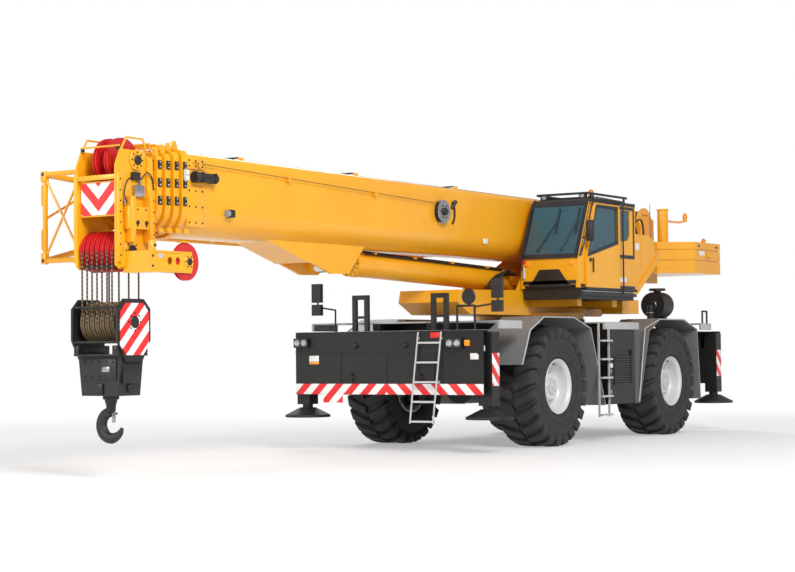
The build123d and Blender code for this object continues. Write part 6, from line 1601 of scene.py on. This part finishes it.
@dataclass
class HookTrim:
    """The hook block's side plates, weights, bolts and rope guards, and the hook itself."""

    finishes: Finishes
    x: float = 8.44

    def hook(self) -> None:
        """The forged hook: a round bar that swells under the load and thins to its tip.

        The bar's middle runs on a circle from the shank round to the tip, and its radius is a
        smooth blend of the values at the shank, the bottom and the tip.
        """
        angle = np.radians(np.linspace(90.0, 352.0, 44))
        share = np.linspace(0.0, 1.0, 44)
        reach = np.interp(share, [0.0, 0.25, 0.5, 0.8, 1.0], [0.165, 0.155, 0.150, 0.155, 0.178])
        size = np.interp(share, [0.0, 0.18, 0.5, 0.72, 0.92, 1.0], [0.060, 0.070, 0.076, 0.066, 0.040, 0.022])
        centre = np.array([self.x, 0.0, 0.645])
        middle = centre + np.stack([np.zeros(44), reach * np.cos(angle), reach * np.sin(angle)], axis=1)
        tangent = np.gradient(middle, axis=0)
        tangent /= np.linalg.norm(tangent, axis=1)[:, None]
        side = np.array([1.0, 0.0, 0.0])
        over = np.cross(tangent, side)
        turn = np.arange(20) * (2.0 * math.pi / 20)
        flat = np.cos(turn)[None, :, None] * 0.82 * side[None, None] + np.sin(turn)[None, :, None] * over[:, None]
        points = (middle[:, None] + size[:, None, None] * flat).reshape(-1, 3)
        faces = grid_faces(44, 20, False, True).tolist() + [list(range(20)), list(range(43 * 20, 44 * 20))]
        kit = Kit(self.finishes, "forged_hook")
        shank = lathe([(0.0, 0.0), (0.0, 0.055), (0.08, 0.060), (0.15, 0.080), (0.158, 0.100), (0.198, 0.100),
                       (0.199, 0.062), (0.374, 0.062), (0.374, 0.0)], (self.x, 0.0, 0.810), (0, 0, 1), 32)
        latch = block(self.x - 0.030, self.x + 0.030, 0.035, 0.05, 0.68, 0.80, 0.006)
        kit.add("cast_black", "hook", Shell(points, faces), shank,
                rod((self.x - 0.075, 0.03, 0.79), (self.x + 0.075, 0.03, 0.79), 0.014, 0.003, 10))
        kit.add("bright_steel", "hook", latch.moved((0, 0, 0)),
                bolt_row(ring_places((self.x, 0, 0.968 + 0.04), (0, 0, 1), 0.085, 8), (0, 0, 1), 0.008, 0.001))
        pieces = kit.make()
        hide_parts("hook")

    def build(self) -> None:
        """Makes the pieces."""
        self.hook()
        kit = Kit(self.finishes, "block_trim")
        body = "hook_block"
        x = self.x
        outline = np.array([(-0.26, 1.62), (-0.15, 1.50), (0.15, 1.50), (0.26, 1.62), (0.26, 2.02), (0.16, 2.13),
                            (-0.16, 2.13), (-0.26, 2.02)])
        kit.add("stripes_block", body, prism(outline, np.array([x, 0.376, 0.0]), np.array([1.0, 0, 0]),
                                             np.array([0, 0, 1.0]), np.array([0, 0.010, 0])))
        kit.add("block_black", body, prism(outline, np.array([x, -0.386, 0.0]), np.array([1.0, 0, 0]),
                                           np.array([0, 0, 1.0]), np.array([0, 0.010, 0])))
        for side in (1, -1):
            kit.add("cast_black", body, rod((x, side * 0.375, 1.90), (x, side * 0.398, 1.90), 0.075, 0.008, 28),
                    bolt_row(ring_places((x, side * 0.386, 1.90), (0, 1, 0), 0.105, 8), (0, side, 0), 0.012, 0.010))
            kit.add("cast_black", body, bolt_row(np.array([(x + dx, side * 0.375, z) for dx in (-0.27, 0.27)
                                                           for z in (1.72, 1.90, 2.02)]), (0, side, 0), 0.013, 0.010))
            kit.add("block_black", body, block(x - 0.285, x + 0.285, side * 0.27, side * 0.345, 1.50, 1.62, 0.012),
                    block(x - 0.16, x + 0.16, side * 0.325, side * 0.340, 1.16, 1.44, 0.010))
        for dx in (-0.27, 0.27):
            for z in (1.66, 2.08):
                kit.add("cast_black", body, rod((x + dx, -0.345, z), (x + dx, 0.345, z), 0.016, 0.003, 10))
        face = x + 0.200
        kit.add("block_black", body, block(face, face + 0.016, -0.27, 0.27, 1.20, 1.46, 0.008),
                block(face, face + 0.030, -0.06, 0.06, 1.03, 1.16, 0.010),
                block(x - 0.216, x - 0.200, -0.27, 0.27, 1.20, 1.46, 0.008),
                block(x - 0.285, x + 0.285, -0.345, 0.345, 1.492, 1.515, 0.006))
        kit.add("cast_black", body, bolt_row(np.array([(face + 0.016, y, z) for y in np.linspace(-0.23, 0.23, 5)
                                                       for z in (1.235, 1.425)]), (1, 0, 0), 0.014, 0.012),
                rod((x, -0.33, 1.10), (x, 0.33, 1.10), 0.055, 0.006, 24))
        kit.add("bright_steel", body, block(face + 0.016, face + 0.019, 0.05, 0.17, 1.30, 1.36, 0.001))
        kit.make()


@dataclass
class UpperTrim:
    """Hoses, rope on the drums, tank caps, slewing bolts, counterweight lugs, beacons and the jib's end."""

    finishes: Finishes

    def drums(self, kit: Kit) -> None:
        """Rope laid on both winch drums as a ridged barrel: radius = 0.262 + 0.011 |sin(pi y / pitch)|."""
        y = np.linspace(-0.44, 0.44, 241)
        ridge = 0.262 + 0.011 * np.abs(np.sin(math.pi * (y + 0.44) / 0.022))
        profile = np.concatenate([[(-0.44, 0.0)], np.stack([y, ridge], axis=1), [(0.44, 0.0)]])
        for x, z in ((-4.85, 3.62), (-5.72, 3.79)):
            kit.add("wire_rope", "superstructure", lathe(profile, (x, 0, z), (0, 1, 0), 40))
            kit.both("cast_black", "superstructure", bolt_row(
                ring_places((x, 0.49, z), (0, 1, 0), 0.20, 10), (0, 1, 0), 0.016, 0.012))
            kit.add("boom_yellow", "superstructure", rod((x, -0.66, z), (x, -0.49, z), 0.12, 0.01, 28))

    def hoses(self, kit: Kit) -> None:
        """Hoses at the cylinder's foot, behind the cab and over the tail."""
        body = "superstructure"
        for k in range(5):
            y = 0.10 + 0.055 * k
            kit.add("hose_rubber", body, tube([(-0.55 + 0.03 * k, y, 2.36), (-0.45, y + 0.02, 2.58),
                                               (-0.75, y + 0.03, 2.72 + 0.02 * k), (-1.10, y, 2.74)], 0.017))
        for k in range(6):
            y = 0.60 + 0.06 * k
            kit.add("hose_rubber" if k % 2 else "boom_yellow", body, tube(
                [(-4.30, y, 3.30), (-4.42, y, 3.58 + 0.03 * k), (-4.62 - 0.03 * k, y - 0.03, 3.66 + 0.03 * k),
                 (-4.90, y - 0.06, 3.52), (-5.10, 0.58, 3.40)], 0.018))
        kit.add("boom_yellow", body, block(-4.62, -4.36, 0.55, 0.86, 3.16, 3.34, 0.012),
                *[rod((-4.58 + 0.06 * k, 0.70, 3.34), (-4.58 + 0.06 * k, 0.70, 3.44), 0.022) for k in range(4)])
        kit.add("cast_black", body, *[rod((-4.58 + 0.06 * k, 0.86, 3.25), (-4.58 + 0.06 * k, 0.90, 3.25), 0.020)
                                      for k in range(4)])
        kit.add("black_plastic", body, rod((-3.30, 1.10, 3.49), (-3.30, 1.10, 3.55), 0.075, 0.01, 28),
                rod((-3.85, 0.90, 3.49), (-3.85, 0.90, 3.54), 0.060, 0.01, 28))
        kit.add("cast_black", body, bolt_row(ring_places((-3.60, 0.90, 3.490), (0, 0, 1), 0.13, 10), (0, 0, 1), 0.010,
                                             0.008), block(-3.16, -3.13, 1.350, 1.358, 2.80, 3.05, 0.002))
        kit.add("sign_white", body, block(-3.66, -3.46, 1.350, 1.353, 3.22, 3.33, 0.001))
        kit.add("boom_yellow", body, rod((-3.60, 0.90, 3.49), (-3.60, 0.90, 3.496), 0.16, 0.002, 32),
                *[block(x - 0.02, x + 0.02, 1.35, 1.356, 2.70, 3.46, 0.002) for x in (-3.25, -3.75)])

    def slewing(self, kit: Kit) -> None:
        """Bolts round the slewing ring, and the pins of the frame."""
        ring_bolts = ring_places((-2.10, 0, 2.078), (0, 0, 1), 0.915, 48)
        kit.add("cast_black", "superstructure", bolt_row(ring_bolts, (0, 0, 1), 0.018, 0.020))
        for side in (1, -1):
            kit.add("cast_black", "superstructure", rod((-1.30, side * 0.540, 2.65), (-1.30, side * 0.556, 2.65), 0.07),
                    rod((-3.60, side * 0.540, 3.25), (-3.60, side * 0.556, 3.25), 0.09, 0.006, 28),
                    bolt_row(ring_places((-3.60, side * 0.545, 3.25), (0, 1, 0), 0.13, 8), (0, side, 0), 0.014, 0.012))

    def tail(self, kit: Kit) -> None:
        """Counterweight lugs and small plates, the two posts and the beacons."""
        body = "superstructure"
        for side in (1, -1):
            kit.add("boom_yellow", body, block(-6.22, -6.08, side * 1.55, side * 1.60, 3.17, 3.25, 0.012),
                    rod((-5.62, side * 0.90, 4.04), (-5.62, side * 0.90, 4.07), 0.11, 0.006, 28))
            kit.add("cast_black", body, bolt_row(np.array([(x, side * 1.55, 3.37) for x in (-5.75, -6.55)]),
                                                 (0, side, 0), 0.022, 0.016))
            kit.add("sign_white", body, block(-6.02, -5.78, side * 1.55, side * 1.553, 3.20, 3.28, 0.001))
            kit.add("amber_lens", body, lathe([(0, 0), (0, 0.045), (0.06, 0.042), (0.09, 0.028), (0.10, 0.0)],
                                              (-6.55, side * 1.30, 3.455), (0, 0, 1), 20))
            kit.add("black_plastic", body, rod((-6.55, side * 1.30, 3.44), (-6.55, side * 1.30, 3.456), 0.05))
        kit.add("boom_yellow", body, tube([(-5.66, 0.90, 3.86), (-6.30, 0.90, 3.86), (-6.62, 0.90, 3.90)], 0.022),
                rod((-6.62, 0.90, 3.88), (-6.62, 0.90, 3.95), 0.04))
        kit.add("amber_lens", body, lathe([(0, 0), (0, 0.045), (0.06, 0.042), (0.09, 0.028), (0.10, 0.0)],
                                          (-6.62, 0.90, 3.95), (0, 0, 1), 20))
        kit.add("black_plastic", body, rod((-5.29, 0.80, 3.44), (-5.29, 0.80, 4.14), 0.006, 0.001, 6))
        ribs = [ring((x, 0.76, 2.30), (1, 0, 0), 0.232, 0.008, 40) for x in np.linspace(-5.80, -5.48, 5)]
        kit.add("black_plastic", "carrier", *ribs)
        kit.add("bright_steel", "carrier", ring((-5.43, 0.76, 2.30), (1, 0, 0), 0.070, 0.008),
                ring((-5.33, 0.76, 2.16), (0, 0, 1), 0.068, 0.008))

    def cylinder(self, kit: Kit) -> None:
        """The lift cylinder's gland, pipes and clamps."""
        slope = np.array([5.14, 0.0, 0.155])
        slope /= np.linalg.norm(slope)
        foot = np.array([-1.30, 0.0, 2.65])
        body = "lift_barrel"
        end = foot + slope * 4.60
        kit.add("boom_yellow", body, lathe([(-0.14, 0.178), (-0.135, 0.188), (-0.01, 0.188), (0.0, 0.182), (0.0, 0.133)],
                                           end, slope, 44))
        kit.add("cast_black", body, bolt_row(ring_places(end, slope, 0.160, 14), slope, 0.012, 0.010))
        up = np.array([-slope[2], 0.0, slope[0]])
        for y in (0.07, 0.12):
            lift = math.sqrt(0.205 ** 2 - y ** 2)
            kit.add("cast_black", body, rod(foot + slope * 0.30 + up * lift + (0, y, 0),
                                            foot + slope * 4.35 + up * lift + (0, y, 0), 0.015, 0.003, 10))
        kit.add("boom_yellow", body, *[block(foot[0] + d - 0.03, foot[0] + d + 0.03, 0.04, 0.15,
                                             (foot + slope * d + up * 0.165)[2], (foot + slope * d + up * 0.205)[2])
                                       for d in (0.8, 1.9, 3.0, 4.1)])

    def jib_end(self, kit: Kit) -> None:
        """Braces, lugs and the swing strut at the jib's root, and the carrying brackets."""
        body = "boom_base"
        kit.add("boom_yellow", body, rod((8.235, -1.26, 3.74), (8.235, -0.68, 2.76), 0.016, 0.003, 10),
                rod((8.235, -0.68, 3.74), (8.235, -1.26, 2.76), 0.016, 0.003, 10),
                rod((8.20, -1.27, 3.25), (7.50, -1.20, 3.62), 0.016, 0.003, 10),
                rod((8.20, -0.66, 3.25), (7.50, -0.66, 3.62), 0.016, 0.003, 10),
                block(8.20, 8.274, -1.325, -1.24, 2.66, 2.80, 0.012), block(8.20, 8.274, -1.325, -1.24, 3.70, 3.84, 0.012),
                block(8.20, 8.274, -0.69, -0.60, 2.66, 2.80, 0.012), block(8.20, 8.274, -0.69, -0.60, 3.70, 3.84, 0.012))
        kit.add("amber_plastic", body, rod((8.255, -1.30, 2.84), (8.255, -1.30, 3.10), 0.020),
                rod((8.255, -1.30, 3.40), (8.255, -1.30, 3.66), 0.020))
        kit.add("cast_black", body, *[rod((8.19, y, z), (8.276, y, z), 0.026) for y in (-1.28, -0.645)
                                      for z in (2.70, 3.80)])

    def build(self) -> None:
        """Makes the pieces."""
        kit = Kit(self.finishes, "upper_trim")
        for part in (self.drums, self.hoses, self.slewing, self.tail, self.cylinder, self.jib_end):
            part(kit)
        kit.make()


@dataclass
class Studio:
    """The camera at the photograph's place, the floor and the lights."""

    finishes: Finishes
    eye: tuple[float, float, float] = (25.185, 15.004, 1.537)
    yaw: float = 32.91
    pitch: float = 1.99
    roll: float = -0.58
    focal_pixels: float = 1823.0
    photo_width: float = 795.0
    sensor: float = 36.0
    floor_half: float = 160.0

    def camera(self) -> None:
        """Makes the camera: forward from yaw and pitch, then turned about it by the roll."""
        yaw, pitch, roll = (math.radians(value) for value in (self.yaw, self.pitch, self.roll))
        forward = np.array([-math.cos(yaw) * math.cos(pitch), -math.sin(yaw) * math.cos(pitch), math.sin(pitch)])
        level = np.cross(forward, (0.0, 0.0, 1.0))
        level /= np.linalg.norm(level)
        upright = np.cross(level, forward)
        right = level * math.cos(roll) + upright * math.sin(roll)
        up = -level * math.sin(roll) + upright * math.cos(roll)
        data = bpy.data.cameras.new("photo_camera")
        data.sensor_width = self.sensor
        data.lens = self.sensor * self.focal_pixels / self.photo_width
        data.clip_end = 500.0
        data.dof.use_dof = False
        camera = bpy.data.objects.new("photo_camera", data)
        bpy.context.scene.collection.objects.link(camera)
        turn = Matrix((right, up, -forward)).transposed().to_4x4()
        camera.matrix_world = Matrix.Translation(at(*self.eye)) @ turn
        bpy.context.scene.camera = camera

    def floor(self) -> None:
        """Makes the pale floor."""
        half = self.floor_half
        shell = Shell(np.array([[-half, -half, 0], [half, -half, 0], [half, half, 0], [-half, half, 0]], float),
                      [[0, 1, 2, 3]])
        mesh = bpy.data.meshes.new("floor")
        mesh.from_pydata(shell.points.tolist(), [], shell.faces)
        mesh.materials.append(self.finishes["studio_floor"])
        floor = bpy.data.objects.new("floor", mesh)
        bpy.context.scene.collection.objects.link(floor)

    def lamp(self, name: str, place: Sequence[float], target: Sequence[float], size: float, power: float) -> None:
        """Adds a square soft lamp.

        Args:
            name: Its name.
            place: Where it hangs, from the front axle.
            target: Where it points.
            size: Its side.
            power: Its watts.
        """
        data = bpy.data.lights.new(name, "AREA")
        data.shape = "SQUARE"
        data.size = size
        data.energy = power
        lamp = bpy.data.objects.new(name, data)
        bpy.context.scene.collection.objects.link(lamp)
        start, end = at(*place), at(*target)
        back = start - end
        u, v, w = axis_frame(back)
        lamp.matrix_world = Matrix.Translation(start) @ Matrix((u, v, w)).transposed().to_4x4()

    def light(self) -> None:
        """Sets the sky: white to the camera, and a soft grey light on the machine."""
        world = bpy.data.worlds.new("studio")
        bpy.context.scene.world = world
        world.use_nodes = True
        tree = world.node_tree
        background = tree.nodes["Background"]
        background.inputs["Color"].default_value = (1.0, 1.0, 1.0, 1.0)
        path = tree.nodes.new("ShaderNodeLightPath")
        seen = tree.nodes.new("ShaderNodeMath")
        seen.operation = "MAXIMUM"
        tree.links.new(path.outputs["Is Camera Ray"], seen.inputs[0])
        tree.links.new(path.outputs["Is Transmission Ray"], seen.inputs[1])
        strength = tree.nodes.new("ShaderNodeMapRange")
        strength.inputs["To Min"].default_value = 0.52
        strength.inputs["To Max"].default_value = 1.0
        tree.links.new(seen.outputs[0], strength.inputs["Value"])
        tree.links.new(strength.outputs["Result"], background.inputs["Strength"])
        self.lamp("key_lamp", (17.0, 20.0, 17.0), (1.0, 0.0, 2.0), 9.0, 5900.0)
        self.lamp("fill_lamp", (24.0, -6.0, 9.0), (1.0, 0.0, 2.0), 9.0, 1500.0)
        self.lamp("back_lamp", (-16.0, -14.0, 14.0), (0.0, 0.0, 2.0), 9.0, 1800.0)

    def build(self) -> None:
        """Sets up the stage."""
        self.camera()
        self.floor()
        self.light()
        bpy.context.scene.view_settings.view_transform = "Standard"


def main() -> None:
    """Dresses the machine and sets up the studio."""
    logging.basicConfig(level=logging.INFO, format="%(name)s: %(message)s")
    finishes = Finishes()
    Repaint(finishes).apply()
    for assembly in (Tyres, Rims, FrontAndRear, DeckTrim, CabTrim, BoomTrim, HeadTrim, HookTrim,
                     UpperTrim, Studio):
        assembly(finishes).build()


if __name__ == "__main__":
    main()
